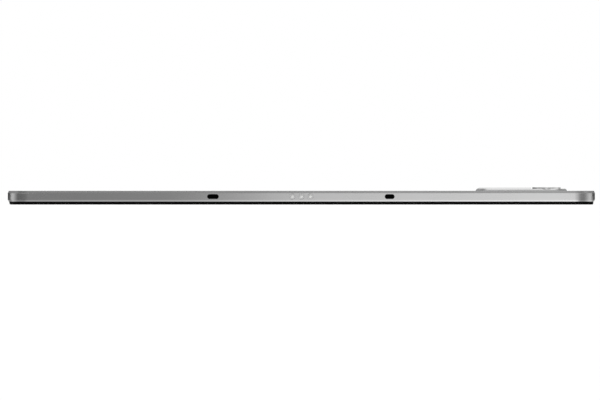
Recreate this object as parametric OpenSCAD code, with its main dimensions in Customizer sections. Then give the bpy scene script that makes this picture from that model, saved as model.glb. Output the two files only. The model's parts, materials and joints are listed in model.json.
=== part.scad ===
// Tablet computer that lies on its display, with the back up and the docking edge towards -Y.
// The origin is the middle of the glass's outer face. +X runs along the long side, +Z towards the back.

/* [Body] */
// Length of the long side
body_w = 293.4; // [280:0.1:310]
// Length of the short side
body_d = 190.7; // [180:0.1:205]
// Thickness from the glass to the back, without the camera island
body_t = 6.9; // [6.5:0.1:8]
// Radius of the corners, seen from above
corner_r = 10; // [7:0.5:14]
// Thickness of the housing's side walls
wall_t = 1.5; // [1.2:0.1:1.9]
// Thickness of the housing's back wall
back_t = 0.8; // [0.6:0.1:1]
// Width of the chamfer at the back
back_chamfer_in = 0.5; // [0.2:0.1:0.8]
// Height of the chamfer at the back
back_chamfer_h = 1.2; // [0.6:0.1:1.3]
// Width of the chamfer at the display
rim_chamfer_in = 0.4; // [0.2:0.1:0.7]
// Height of the chamfer at the display
rim_chamfer_h = 0.8; // [0.5:0.1:1]

/* [Display] */
// Thickness of the cover glass
glass_t = 0.9; // [0.7:0.05:1.1]
// Distance from the side of the body to the side of the glass
glass_inset = 0.75; // [0.5:0.05:1]
// Roundness of the glass's outer edge
glass_edge_r = 0.8; // [0.3:0.05:1]
// Thickness of the plastic frame behind the glass
bezel_t = 0.5; // [0.3:0.05:0.6]
// Thickness of the adhesive between the frame and the housing
seal_t = 0.1; // [0.05:0.05:0.2]
// Height of the frame's locating lip inside the housing
lip_h = 0.4; // [0.2:0.1:0.5]
// Thickness of the locating lip
lip_t = 0.8; // [0.5:0.1:1.2]
// Clearance of the lip in the housing
lip_gap = 0.15; // [0.1:0.05:0.3]
// Distance from the short sides to the panel
panel_margin_side = 8.4; // [7:0.1:11]
// Distance from the docking edge to the panel
panel_margin_near = 6.6; // [6:0.1:9]
// Distance from the far edge to the panel
panel_margin_far = 8.6; // [8.4:0.1:11]
// Thickness of the liquid crystal panel
lcd_t = 0.6; // [0.4:0.05:0.8]
// Thickness of the backlight
backlight_t = 0.95; // [0.7:0.05:1.1]
// Clearance round the panel
panel_gap = 0.3; // [0.1:0.1:0.6]
// Free height between the backlight and the parts behind it
display_gap = 0.25; // [0.1:0.05:0.4]

/* [Camera island] */
// Length of the island
island_l = 46.6; // [40:0.1:52]
// Width of the island
island_w = 15.2; // [14.8:0.1:20]
// Height of the island above the back
island_h = 1.75; // [1.5:0.05:2.2]
// Radius of the island's round shoulder
shoulder_r = 2.5; // [2.2:0.1:5]
// Distance from the short side to the island
island_margin_side = 11.7; // [11:0.1:20]
// Distance from the far edge to the island
island_margin_far = 14.4; // [12:0.1:20]
// Distance from the island's outer end to the lens
lens_end = 10.5; // [9:0.1:13]
// Distance from the island's inner end to the flash
flash_end = 9; // [7:0.1:12]
// Diameter of the lens ring
ring_d = 14.4; // [12:0.1:14.6]
// Height of the lens ring
ring_h = 1.3; // [1:0.05:1.4]
// Height of the ring above the island
ring_proud = 0.1; // [0:0.05:0.3]
// Height of the step from the lens up to the rest of the island
step_h = 0.6; // [0.3:0.05:0.7]
// Distance from the ring to the step
step_gap = 0.6; // [0.3:0.1:0.9]
// Diameter of the lens window
window_d = 10.4; // [9.6:0.1:11]
// Thickness of the lens window
window_t = 0.35; // [0.25:0.05:0.4]
// Depth of the lens window below the ring
window_sink = 0.1; // [0.05:0.05:0.15]
// Diameter of the flash lens
flash_d = 4.6; // [4:0.1:5.5]
// Thickness of the flash lens
flash_t = 1; // [0.6:0.1:1.2]
// Clearance of the ring, window and flash in their seats
seat_gap = 0.05; // [0.02:0.01:0.1]

/* [Rear camera] */
// Side of the camera module
camera_size = 10; // [9:0.1:11]
// Diameter of the module's neck
neck_d = 8; // [7.6:0.1:8.4]
// Diameter of the lens barrel
barrel_d = 6.2; // [5.5:0.1:6.6]
// Clearance round the barrel and round the neck
camera_gap = 0.3; // [0.2:0.05:0.4]
// Thickness of the module's floor
camera_floor = 0.7; // [0.5:0.1:1]
// Focus travel of the barrel
focus_travel = 0.3; // [0.1:0.05:0.4]

/* [Keys] */
// Length of the power button
power_l = 16; // [12:0.5:20]
// Length of each volume button
volume_l = 15; // [12:0.5:18]
// Distance between the volume buttons
volume_gap = 3; // [2:0.5:6]
// Height of the buttons
key_h = 2; // [1.6:0.1:2.2]
// Height of the buttons above the wall
key_proud = 0.4; // [0.35:0.05:0.6]
// Travel of the buttons
key_travel = 0.3; // [0.2:0.05:0.35]
// Clearance of the buttons in the wall
key_gap = 0.12; // [0.08:0.01:0.2]
// Width of the button's flange behind the wall
flange_w = 0.4; // [0.3:0.05:0.5]
// Thickness of the button's flange
flange_t = 0.6; // [0.4:0.05:0.8]
// Gap between the flange and the wall at rest
flange_gap = 0.05; // [0.03:0.01:0.1]
// Diameter of the switch plunger
plunger_d = 1.4; // [1:0.1:1.6]
// Length of the plunger inside the switch
plunger_in = 0.8; // [0.6:0.1:1]
// Clearance round the plunger
plunger_gap = 0.1; // [0.05:0.01:0.15]
// Width of the switch
switch_w = 4; // [3:0.1:5]
// Depth of the switch
switch_d = 2.2; // [1.9:0.1:2.6]
// Height of the switch
switch_h = 2.2; // [2:0.1:2.4]
// Thickness of the bracket behind the switches
bracket_t = 0.5; // [0.3:0.05:0.6]
// Depth of the bracket's foot
bracket_foot = 5; // [4:0.1:6]
// Distance from the far edge to the power button
power_corner = 25; // [22:0.5:27]
// Distance from the short side to the middle of the volume buttons
volume_corner = 38.7; // [32:0.1:42]

/* [Card tray] */
// Distance from the far edge to the tray
tray_corner = 20.3; // [19.6:0.1:22]
// Width of the tray's door
door_w = 14.4; // [13.8:0.1:15]
// Height of the tray's door
door_h = 2; // [1.7:0.1:2.2]
// Clearance of the door in the wall
door_gap = 0.1; // [0.06:0.01:0.15]
// Width of the tray's frame
tray_w = 12.6; // [12.3:0.1:13]
// Thickness of the tray's frame
tray_t = 0.9; // [0.85:0.05:1]
// Length of the tray with its door
tray_l = 19; // [18.5:0.1:21]
// Clearance of the tray in the reader
tray_gap = 0.2; // [0.1:0.05:0.25]
// Width of the memory card that the tray holds
card_w = 11; // [10.8:0.1:11.2]
// Length of the memory card
card_l = 15; // [14.8:0.1:15.2]
// Thickness of the memory card
card_t = 0.7; // [0.6:0.05:0.75]
// Clearance round the card
card_gap = 0.1; // [0.05:0.01:0.2]
// Width of the ledge under the card
card_ledge = 0.7; // [0.4:0.1:1]
// Diameter of the pin hole in the door
pin_d = 1; // [0.8:0.1:1.2]
// Height of the card reader
reader_h = 1.8; // [1.75:0.05:2]
// Thickness of the reader's sides
reader_wall = 0.6; // [0.4:0.1:0.8]

/* [Docking edge] */
// Distance from the middle to each guide slot
guide_x = 44.1; // [38:0.1:48]
// Length of the left guide slot
guide_left_l = 5.8; // [4:0.1:7]
// Length of the right guide slot
guide_right_l = 4.9; // [4:0.1:7]
// Height of the guide slots
guide_h = 2.4; // [1.8:0.1:2.5]
// Depth of the guide sockets behind the wall
guide_depth = 2.8; // [2:0.1:3.2]
// Thickness of the guide sockets
liner_t = 0.6; // [0.4:0.1:0.8]
// Distance between the docking contacts
contact_pitch = 4.5; // [3.8:0.1:5.5]
// Diameter of the docking contacts
contact_d = 1.8; // [1.4:0.1:2]
// Height of the contacts' domes
contact_dome = 0.2; // [0.1:0.05:0.3]
// Diameter of the insulating ring round a contact
insulator_d = 2.9; // [2.4:0.1:3.2]
// Depth of the insulating rings below the wall
insulator_sink = 0.1; // [0.05:0.05:0.4]
// Clearance of the contacts and rings in their holes
contact_gap = 0.03; // [0.02:0.01:0.1]
// Depth of the insulating bar behind the wall
base_d = 2.2; // [1.6:0.1:3]
// Length of the docking magnets
magnet_l = 18; // [12:0.5:20]
// Depth of the docking magnets
magnet_d = 3; // [2:0.1:3.4]
// Height of the docking magnets
magnet_h = 2.6; // [2:0.1:3]
// Distance from the middle to the inner magnets
magnet_inner = 25; // [22:0.5:27]
// Distance from the middle to the outer magnets
magnet_outer = 66; // [62:0.5:80]

/* [Charging port] */
// Width of the port's shell
usb_w = 8.94; // [8.8:0.02:9]
// Height of the port's shell
usb_h = 3.16; // [3.1:0.02:3.2]
// Thickness of the shell
usb_wall = 0.3; // [0.2:0.05:0.35]
// Length of the shell
usb_l = 7.3; // [6.8:0.1:8.5]
// Depth of the shell below the side
usb_sink = 0.3; // [0.1:0.1:0.6]
// Clearance of the shell in the wall
usb_gap = 0.08; // [0.05:0.01:0.15]
// Width of the contact tongue
tongue_w = 6.69; // [6.5:0.01:6.8]
// Thickness of the contact tongue
tongue_t = 0.7; // [0.6:0.02:0.75]
// Length of the insulator at the bottom of the port
usb_base = 1.6; // [1:0.1:2]

/* [Sound] */
// Distance from the middle to each loudspeaker
speaker_y = 37; // [35:0.5:40]
// Length of a loudspeaker box
speaker_l = 42; // [36:0.5:46]
// Depth of a loudspeaker box
speaker_w = 22; // [18:0.5:24]
// Free height below the loudspeaker boxes
speaker_gap = 0.2; // [0.1:0.05:0.4]
// Length of the loudspeaker driver
driver_l = 26; // [20:0.5:30]
// Width of the loudspeaker driver
driver_w = 13; // [10:0.5:14]
// Height of the loudspeaker driver
driver_h = 1.9; // [1.5:0.1:2.2]
// Number of slots in a grille
grille_n = 6; // [3:1:7]
// Length of a grille slot
grille_l = 3.2; // [2:0.1:3.6]
// Height of a grille slot
grille_h = 1.3; // [0.8:0.1:1.8]
// Distance between the grille slots
grille_pitch = 4.4; // [4:0.1:5.4]
// Thickness of the dust mesh behind a grille
mesh_t = 0.2; // [0.1:0.05:0.3]
// Margin of the dust mesh round a grille
mesh_margin = 0.7; // [0.4:0.1:1]
// Distance between the volume buttons and the nearest microphone
mic_spacing = 11.5; // [6:0.5:16]
// Diameter of the microphone holes
mic_d = 0.9; // [0.6:0.1:1.2]

/* [Radio window] */
// Length of the plastic strip in the back
strip_l = 140; // [80:1:144]
// Width of the plastic strip
strip_w = 4.5; // [3:0.1:5]
// Distance from the far edge to the middle of the strip
strip_margin = 7; // [6:0.1:7.5]
// Width of the strip's flange inside the back
strip_flange = 1.2; // [0.8:0.1:1.4]
// Thickness of the strip's flange
strip_flange_t = 0.5; // [0.3:0.1:0.6]
// Length of an antenna
antenna_l = 34; // [24:1:36]
// Width of an antenna
antenna_w = 5; // [4:0.1:6]
// Thickness of an antenna
antenna_t = 0.2; // [0.1:0.05:0.3]

/* [Boards and battery] */
// Thickness of the circuit boards
board_t = 0.8; // [0.6:0.05:0.9]
// Depth of the main board
board_d = 36; // [32:0.5:40]
// Distance from the far edge to the main board
board_margin = 11.5; // [11.2:0.1:14]
// Height of the bosses under the boards
standoff_h = 0.4; // [0.3:0.05:0.5]
// Diameter of the bosses
boss_d = 4.4; // [3.6:0.1:5]
// Distance between the boards and their neighbours
board_gap = 2; // [1:0.1:3]
// Width of the port's board
usb_board_w = 22; // [18:0.5:24]
// Length of the port's board
usb_board_l = 17; // [15:0.5:20]
// Gap between the battery cells
cell_gap = 7; // [6:0.5:10]
// Gap between a cell and the loudspeakers
cell_side_gap = 9; // [7:0.5:12]
// Distance from the docking edge to the cells
cell_margin = 9.5; // [8:0.1:12]
// Room for the cells to swell
swell_gap = 0.4; // [0.3:0.05:0.5]
// Radius of the cells' long edges
cell_r = 1.2; // [0.5:0.1:1.3]
// Thickness of the tapes that hold the cells
tape_t = 0.1; // [0.05:0.05:0.2]
// Width of the tapes
tape_w = 20; // [12:1:26]
// Width of the battery's own board
battery_board_w = 120; // [90:1:140]
// Depth of the battery's own board
battery_board_d = 7; // [5:0.1:9]
// Thickness of the ribbon cables
ribbon_t = 0.15; // [0.1:0.05:0.2]
// Width of the ribbon cables
ribbon_w = 5; // [3:0.1:5.5]
// Length of ribbon that lies on a board
ribbon_lap = 6; // [4:0.1:8]
// Free height below the shield cans
can_gap = 0.35; // [0.3:0.05:0.5]
// Thickness of the shield cans
can_wall = 0.2; // [0.15:0.05:0.3]
// Depth of the shield cans
can_d = 26; // [24:0.5:28]
// Length of the processor's shield can
can_a_l = 46; // [40:0.5:50]
// Length of the power shield can
can_b_l = 34; // [30:0.5:38]
// Distance from the board's end to the first shield can
can_inset = 26; // [22:0.5:30]
// Distance between the shield cans
can_spacing = 4; // [2:0.5:8]
// Thickness of the graphite sheet
graphite_t = 0.1; // [0.05:0.05:0.15]
// Diameter of the screws' threads
screw_d = 1.2; // [1:0.1:1.4]
// Diameter of the screw heads
head_d = 3; // [2.4:0.1:3.4]
// Height of the screw heads
head_h = 0.5; // [0.3:0.05:0.6]
// Depth of the threads in the back wall
thread_l = 0.4; // [0.2:0.05:0.5]
// Clearance round the screws
screw_gap = 0.1; // [0.05:0.01:0.15]

/* [Front camera] */
// Side of the front camera
front_size = 5; // [4.4:0.1:5.2]
// Diameter of the front camera's nose
front_nose_d = 3.4; // [2.8:0.1:3.6]
// Clearance round the nose and next to the lip
front_gap = 0.2; // [0.1:0.05:0.25]
// Distance between the front camera and the light sensor
sensor_x = 12; // [8:0.5:18]
// Side of the light sensor
sensor_size = 2.4; // [1.8:0.1:2.8]

/* [Hidden] */
$fn = 72;
// Over-run of a cut past the face that it opens
cut = 1;

// Levels from the glass upwards
bezel_z = glass_t;
bezel_top = bezel_z + bezel_t;
rim_z = bezel_top + seal_t;
lcd_z = glass_t;
backlight_z = lcd_z + lcd_t;
display_top = backlight_z + backlight_t;
cavity_z = display_top + display_gap;
back_z = body_t - back_t;
wall_z0 = rim_z + rim_chamfer_h;
wall_z1 = body_t - back_chamfer_h;
port_z = (wall_z0 + wall_z1) / 2;
board_top = back_z - standoff_h;
board_z = board_top - board_t;
ribbon_z = board_z - ribbon_t;
tray_z = board_z - reader_h / 2;
island_top = body_t + island_h;
ring_z = island_top + ring_proud - ring_h;
flash_z = island_top - flash_t;

// Panel outline
panel_w = body_w - 2 * panel_margin_side;
panel_d = body_d - panel_margin_near - panel_margin_far;
panel_y = (panel_margin_near - panel_margin_far) / 2;
// Radius of the panel's corners
panel_r = 1.5;

// Camera island
shoulder_w = sqrt(pow(shoulder_r, 2) - pow(shoulder_r - island_h, 2));
island_x = body_w / 2 - island_margin_side - island_l / 2;
island_y = body_d / 2 - island_margin_far - island_w / 2;
lens_x = island_x + island_l / 2 - lens_end;
flash_x = island_x - island_l / 2 + flash_end;
// Ledge under the flash lens
flash_ledge = 0.6;
flash_well_d = flash_d - 2 * flash_ledge;
neck_hole_d = neck_d + 2 * camera_gap;
neck_top = ring_z - camera_gap;
camera_z = cavity_z + display_gap;
barrel_z = camera_z + camera_floor + camera_gap;
barrel_top = neck_top - focus_travel - camera_gap / 2;
// Side of the flash diode, and the margin of its board round the well
led_size = 2.4;
led_margin = 1.6;
led_board = flash_well_d + 2 * led_margin;

// Keys, in depth behind the face of their wall
flange_back = wall_t + flange_gap + flange_t;
switch_front = flange_back + key_travel + plunger_gap;
switch_back = switch_front + switch_d;
bore_depth = plunger_in + key_travel + plunger_gap;
power_y = body_d / 2 - power_corner;
volume_x = body_w / 2 - volume_corner;
volume_step = (volume_l + volume_gap) / 2;
volume_bracket_l = 2 * volume_l + volume_gap;
mic_x = volume_x - volume_bracket_l / 2 - mic_spacing;

// Card tray and reader
tray_y = body_d / 2 - tray_corner;
reader_front = wall_t + tray_gap;
reader_w = tray_w + 2 * (tray_gap + reader_wall);
reader_back = tray_l + tray_gap + reader_wall;
// Thickness of the frame between the door and the card
door_back = 1;
card_y = wall_t + door_back;
pin_x = (tray_w - pin_d) / 2 - reader_wall;

// Docking edge
// Margin of the insulating bar beside and below the contacts
base_margin = 1.5;
base_lip = 0.1;
base_l = 2 * contact_pitch + insulator_d + 2 * base_margin;
base_z = port_z - insulator_d / 2 - base_lip;
guide_back = wall_t + guide_depth + liner_t;

// Loudspeakers
speaker_front = wall_t + mesh_t;
speaker_back = speaker_front + speaker_w;
speaker_z = cavity_z + speaker_gap;
grille_span = (grille_n - 1) * grille_pitch + grille_l;
// Corner radius of a driver, and its distance inwards from the middle of its box
driver_r = 3;
driver_shift = 2;
// Depth of the sound port in a box
port_depth = 3;
// Microphone along the wall, in depth and in height
mic_size = [3.4, 1.4, 2.2];

// Boards and battery
usb_back = usb_sink + usb_l;
board_y1 = body_d / 2 - board_margin;
board_y0 = board_y1 - board_d;
board_mid = (board_y0 + board_y1) / 2;
board_x0 = -body_w / 2 + speaker_back + board_gap;
board_x1 = lens_x - camera_size / 2 - board_gap;
// Clearance of the board's ear from the wall, and its margin beside the card reader
ear_gap = 1.5;
ear_margin = 0.8;
ear_x0 = -body_w / 2 + wall_t + ear_gap;
ear_d = reader_w + 2 * ear_margin;
cell_x1 = body_w / 2 - speaker_back - cell_side_gap;
cell_w = cell_x1 - cell_gap / 2;
cell_y0 = -body_d / 2 + cell_margin;
cell_y1 = board_y0 - board_gap - battery_board_d;
cell_d = cell_y1 - cell_y0;
cell_z = cavity_z + swell_gap;
cell_t = back_z - tape_t - cell_z;
// Edge radius of the cells, kept under half their thickness
cell_edge = min(cell_r, 0.45 * cell_t);
// Feet of the battery's board
foot_l = 8;
foot_in = 1;
can_z = cavity_z + can_gap;
can_a_x = board_x0 + can_inset + can_a_l / 2;
can_b_x = can_a_x + (can_a_l + can_b_l) / 2 + can_spacing;
// Chips under the shield cans
chip_t = 0.8;
processor_size = 15;
memory_size = [11, 13];
charger_size = [8, 8];
storage_size = [11.5, 13];
pad_margin = 0.5;
link_x = -body_w / 2 + speaker_back + cell_side_gap / 2;
// Distance of the screws from the ends and sides of the boards
screw_in = [12, 4];
// Place and width of the battery's lead and of the display's ribbon
lead_x = 24;
lead_w = 12;
display_ribbon_x = 48;
display_ribbon_w = 36;

// Places of the screws on the boards: [x, y]
board_screw_places = [
    for (
        x = [board_x0 + screw_in[0], board_x1 - screw_in[0]],
        y = [board_y0 + screw_in[1], board_y1 - screw_in[1]]
    )
        [x, y],
    for (y = [-1, 1])
        [-body_w / 2 + usb_back + usb_board_l / 2, y * (usb_board_w / 2 - screw_in[1])]
];
// Places of the screws in the feet of the key brackets: [x, y]
foot_y = switch_back + bracket_t + (bracket_foot - bracket_t) / 2;
foot_screw_places = [
    [body_w / 2 - foot_y, power_y],
    [volume_x - volume_step, body_d / 2 - foot_y],
    [volume_x + volume_step, body_d / 2 - foot_y]
];

// Front camera, in depth behind the face of the far wall
front_from = wall_t + lip_gap + lip_t + front_gap;
front_mid = front_from + front_size / 2;
// Height of the light sensor
sensor_h = 0.8;

// Rectangle with round corners
module rounded_rect(w, d, r) {
    square([w - 2 * r, d], center = true);
    square([w, d - 2 * r], center = true);
    for (x = [-1, 1], y = [-1, 1])
        translate([x * (w / 2 - r), y * (d / 2 - r)])
            circle(r);
}

// Bar outline with round ends
module stadium(l, h) {
    square([l - h, h], center = true);
    for (s = [-1, 1])
        translate([s * (l - h) / 2, 0])
            circle(d = h);
}

// Body outline, drawn in by a distance
module body_outline(inset) {
    rounded_rect(body_w - 2 * inset, body_d - 2 * inset, corner_r - inset);
}

// Slab with round corners, whose edge has the section given as a child, from the corner's axis outwards
module edged_slab(w, d, r, z, h) {
    for (q = [0:3]) {
        x = q == 0 || q == 3 ? 1 : -1;
        y = q < 2 ? 1 : -1;
        translate([x * (w / 2 - r), y * (d / 2 - r), 0])
            rotate([0, 0, 90 * q])
                rotate_extrude(angle = 90)
                    children();
    }
    for (side = [0:3]) {
        along = side % 2 == 0 ? d - 2 * r : w - 2 * r;
        out = side % 2 == 0 ? w / 2 - r : d / 2 - r;
        if (along > 0)
            rotate([0, 0, 90 * side])
                translate([out, 0, 0])
                    rotate([90, 0, 0])
                        linear_extrude(along, center = true)
                            children();
    }
    if (w > 2 * r && d > 2 * r)
        translate([0, 0, z])
            linear_extrude(h)
                square([w - 2 * r, d - 2 * r], center = true);
}

// Flat plate cut from an outline between two levels
module plate(z0, z1) {
    translate([0, 0, z0])
        linear_extrude(z1 - z0)
            children();
}

// Block between two opposite corners
module block(low, high) {
    translate(low)
        cube(high - low);
}

// Children stand on a wall's outer face: X along the wall, Y inwards, Z up
module at_wall(wall, along, z = 0) {
    place = wall == "near" ? [along, -body_d / 2, z]
        : wall == "far" ? [along, body_d / 2, z]
        : wall == "right" ? [body_w / 2, along, z]
        : [-body_w / 2, along, z];
    turn = wall == "near" ? 0 : wall == "right" ? 90 : wall == "far" ? 180 : -90;
    translate(place)
        rotate([0, 0, turn])
            children();
}

// Bar with round ends that runs inwards from a wall, between two depths
module wall_bar(l, h, from, to) {
    translate([0, from, 0])
        rotate([-90, 0, 0])
            linear_extrude(to - from)
                stadium(l, h);
}

// Round bar that runs inwards from a wall, between two depths
module wall_rod(d, from, to) {
    translate([0, from, 0])
        rotate([-90, 0, 0])
            cylinder(d = d, h = to - from);
}

// Upright cylinder between two levels
module disc(d, z0, z1) {
    translate([0, 0, z0])
        cylinder(d = d, h = z1 - z0);
}

// Both sides and both ends, for what is placed four times: the child stands on its short wall
module at_speakers() {
    for (wall = ["left", "right"], y = [-1, 1])
        at_wall(wall, y * speaker_y)
            children();
}

// Housing

module housing_block() {
    edged_slab(body_w, body_d, corner_r, rim_z, body_t - rim_z)
        polygon([
            [0, rim_z],
            [corner_r - rim_chamfer_in, rim_z],
            [corner_r, wall_z0],
            [corner_r, wall_z1],
            [corner_r - back_chamfer_in, body_t],
            [0, body_t]
        ]);
}

module grille_cuts() {
    at_speakers()
        for (i = [0:grille_n - 1])
            translate([(i - (grille_n - 1) / 2) * grille_pitch, 0, port_z])
                wall_bar(grille_l, grille_h, -cut, wall_t + cut);
}

module key_cut(l) {
    wall_bar(l + 2 * key_gap, key_h + 2 * key_gap, -cut, wall_t + cut);
}

module wall_cuts() {
    at_wall("near", -guide_x, port_z)
        wall_bar(guide_left_l, guide_h, -cut, wall_t + cut);
    at_wall("near", guide_x, port_z)
        wall_bar(guide_right_l, guide_h, -cut, wall_t + cut);
    for (i = [-1:1])
        at_wall("near", i * contact_pitch, port_z)
            wall_rod(insulator_d + 2 * contact_gap, -cut, wall_t + cut);
    at_wall("left", 0, port_z)
        wall_bar(usb_w + 2 * usb_gap, usb_h + 2 * usb_gap, -cut, wall_t + cut);
    at_wall("left", tray_y, tray_z)
        wall_bar(door_w + 2 * door_gap, door_h + 2 * door_gap, -cut, wall_t + cut);
    at_wall("right", power_y, port_z)
        key_cut(power_l);
    for (s = [-1, 1]) {
        at_wall("far", volume_x + s * volume_step, port_z)
            key_cut(volume_l);
        at_wall("far", s * mic_x, port_z)
            wall_rod(mic_d, -cut, wall_t + cut);
    }
    grille_cuts();
}

module back_cuts() {
    translate([lens_x, island_y, 0])
        disc(neck_hole_d, back_z - cut, body_t + cut);
    translate([flash_x, island_y, 0])
        disc(flash_well_d, back_z - cut, body_t + cut);
    translate([0, body_d / 2 - strip_margin, 0])
        plate(back_z - cut, body_t + cut)
            stadium(strip_l + 2 * seat_gap, strip_w + 2 * seat_gap);
    for (p = concat(board_screw_places, foot_screw_places))
        translate(p)
            disc(screw_d + 2 * screw_gap, board_top - cut, back_z + thread_l);
}

module rear_housing() {
    color("#9a9c9f")
        difference() {
            union() {
                difference() {
                    housing_block();
                    plate(rim_z - cut, back_z)
                        body_outline(wall_t);
                }
                for (p = board_screw_places)
                    translate(p)
                        disc(boss_d, board_top, back_z);
            }
            wall_cuts();
            back_cuts();
        }
}

module antenna_window() {
    color("#85878a")
        translate([0, body_d / 2 - strip_margin, 0]) {
            plate(back_z, body_t)
                stadium(strip_l, strip_w);
            plate(back_z - strip_flange_t, back_z)
                stadium(strip_l + 2 * strip_flange, strip_w + 2 * strip_flange);
        }
}

module wifi_antennas() {
    color("#c9a227")
        for (s = [-1, 1])
            translate([s * (strip_l - antenna_l) / 2, body_d / 2 - strip_margin, 0])
                plate(back_z - strip_flange_t - antenna_t, back_z - strip_flange_t)
                    square([antenna_l, antenna_w], center = true);
}

// Camera island

// Section of the island from its axis outwards, with the round shoulder
module island_section() {
    r = island_w / 2;
    translate([0, body_t])
        intersection() {
            square([r, island_h]);
            union() {
                square([r - shoulder_w, island_h]);
                translate([r - shoulder_w, island_h - shoulder_r])
                    circle(shoulder_r);
            }
        }
}

module camera_island() {
    color("#b9bbbe")
        difference() {
            translate([island_x, island_y, 0])
                edged_slab(island_l, island_w, island_w / 2, body_t, island_h)
                    island_section();
            block(
                [lens_x - ring_d / 2 - step_gap, island_y - island_w / 2 - cut, island_top - step_h],
                [lens_x + lens_end + cut, island_y + island_w / 2 + cut, island_top + cut]
            );
            translate([lens_x, island_y, 0]) {
                disc(ring_d + 2 * seat_gap, ring_z, island_top + cut);
                disc(neck_hole_d, body_t - cut, island_top + cut);
            }
            translate([flash_x, island_y, 0]) {
                disc(flash_d + 2 * seat_gap, flash_z, island_top + cut);
                disc(flash_well_d, body_t - cut, island_top + cut);
            }
        }
}

module lens_ring() {
    window_z = ring_z + ring_h - window_sink - window_t;
    color("#d4d6d8")
        translate([lens_x, island_y, 0])
            difference() {
                disc(ring_d, ring_z, ring_z + ring_h);
                disc(neck_hole_d, ring_z - cut, ring_z + ring_h + cut);
                disc(window_d + 2 * seat_gap, window_z, ring_z + ring_h + cut);
            }
}

module lens_window() {
    window_top = ring_z + ring_h - window_sink;
    color("#20242a")
        translate([lens_x, island_y, 0])
            disc(window_d, window_top - window_t, window_top);
}

module flash_lens() {
    color("#f1ead2")
        translate([flash_x, island_y, 0])
            disc(flash_d, flash_z, island_top);
}

module flash_led() {
    color("#e8d44d")
        translate([flash_x, island_y, 0]) {
            plate(back_z - ribbon_t, back_z)
                square(led_board, center = true);
            plate(back_z, body_t)
                square(led_size, center = true);
        }
}

module rear_camera_module() {
    color("#2a2c30")
        translate([lens_x, island_y, 0])
            difference() {
                union() {
                    plate(camera_z, back_z)
                        square(camera_size, center = true);
                    disc(neck_d, back_z, neck_top);
                }
                disc(barrel_d + 2 * camera_gap, barrel_z - camera_gap, neck_top + cut);
            }
}

module lens_barrel() {
    rim = 0.8;
    dish = 0.5;
    color("#141518")
        translate([lens_x, island_y, 0])
            difference() {
                disc(barrel_d, barrel_z, barrel_top);
                translate([0, 0, barrel_top - dish])
                    cylinder(d1 = barrel_d - 4 * rim, d2 = barrel_d - 2 * rim, h = dish);
            }
}

module camera_ribbon() {
    side = lens_x - camera_size / 2;
    color("#3b2a17")
        block(
            [board_x1 - ribbon_lap, island_y - ribbon_w / 2, ribbon_z],
            [side, island_y + ribbon_w / 2, board_z]
        );
}

// Display

module cover_glass() {
    r = corner_r - glass_inset;
    edge = min(glass_edge_r, glass_t);
    color("#101114")
        edged_slab(body_w - 2 * glass_inset, body_d - 2 * glass_inset, r, 0, glass_t)
            intersection() {
                square([r, glass_t]);
                union() {
                    square([r - edge, glass_t]);
                    translate([0, edge])
                        square([r, glass_t]);
                    translate([r - edge, edge])
                        circle(edge);
                }
            }
}

module panel_outline(gap) {
    translate([0, panel_y])
        rounded_rect(panel_w + 2 * gap, panel_d + 2 * gap, panel_r);
}

module bezel_frame() {
    lip_in = wall_t + lip_gap;
    color("#17181a")
        difference() {
            union() {
                plate(bezel_z, bezel_top)
                    difference() {
                        body_outline(glass_inset);
                        panel_outline(panel_gap);
                    }
                plate(bezel_top, rim_z + lip_h)
                    difference() {
                        body_outline(lip_in);
                        body_outline(lip_in + lip_t);
                    }
            }
            at_wall("far", 0)
                translate([0, front_mid, 0])
                    disc(front_nose_d + 2 * front_gap, bezel_z - cut, bezel_top + cut);
            at_wall("far", sensor_x)
                translate([0, front_mid, 0])
                    disc(sensor_size / 2, bezel_z - cut, bezel_top + cut);
        }
}

module display_adhesive() {
    color("#0b0b0c")
        plate(bezel_top, rim_z)
            difference() {
                body_outline(max(glass_inset, rim_chamfer_in));
                body_outline(wall_t);
            }
}

module lcd_panel() {
    color("#1b2026")
        plate(lcd_z, backlight_z)
            panel_outline(0);
}

module backlight_unit() {
    color("#c4c8cc")
        plate(backlight_z, display_top)
            panel_outline(0);
}

// Ribbon from the backlight round the far edge of the main board
module display_ribbon() {
    bend = board_y1 + ribbon_t;
    tab = board_y1 - ribbon_lap;
    color("#6b4a1e")
        translate([display_ribbon_x - display_ribbon_w / 2, 0, 0]) {
            block([0, tab, display_top], [display_ribbon_w, bend, display_top + ribbon_t]);
            block([0, board_y1, display_top], [display_ribbon_w, bend, board_z]);
            block([0, tab, ribbon_z], [display_ribbon_w, bend, board_z]);
        }
}

// Battery

module battery_cell(x0) {
    color("#2e3136")
        translate([x0 + cell_w / 2, (cell_y0 + cell_y1) / 2, cell_z + cell_t / 2])
            rotate([90, 0, 0])
                linear_extrude(cell_d, center = true)
                    rounded_rect(cell_w, cell_t, cell_edge);
}

module battery_cell_left() {
    battery_cell(-cell_x1);
}

module battery_cell_right() {
    battery_cell(cell_gap / 2);
}

module battery_tapes() {
    color("#e6e6e0")
        for (side = [-1, 1], s = [-1, 1])
            translate([side * (cell_x1 + cell_gap / 2) / 2 + s * cell_w / 4, (cell_y0 + cell_y1) / 2, 0])
                plate(back_z - tape_t, back_z)
                    square([tape_w, cell_d - 2 * cell_margin], center = true);
}

module battery_board() {
    color("#1f4d3a") {
        block(
            [-battery_board_w / 2, cell_y1, board_z],
            [battery_board_w / 2, cell_y1 + battery_board_d, board_top]
        );
        for (s = [-1, 1])
            translate([s * (battery_board_w - foot_l) / 2, cell_y1 + battery_board_d / 2, 0])
                plate(board_top, back_z)
                    square([foot_l, battery_board_d - 2 * foot_in], center = true);
    }
}

module battery_lead() {
    color("#6b4a1e")
        block(
            [lead_x - lead_w / 2, cell_y1 + battery_board_d - ribbon_lap / 2, ribbon_z],
            [lead_x + lead_w / 2, board_y0 + ribbon_lap, board_z]
        );
}

// Main board

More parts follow.
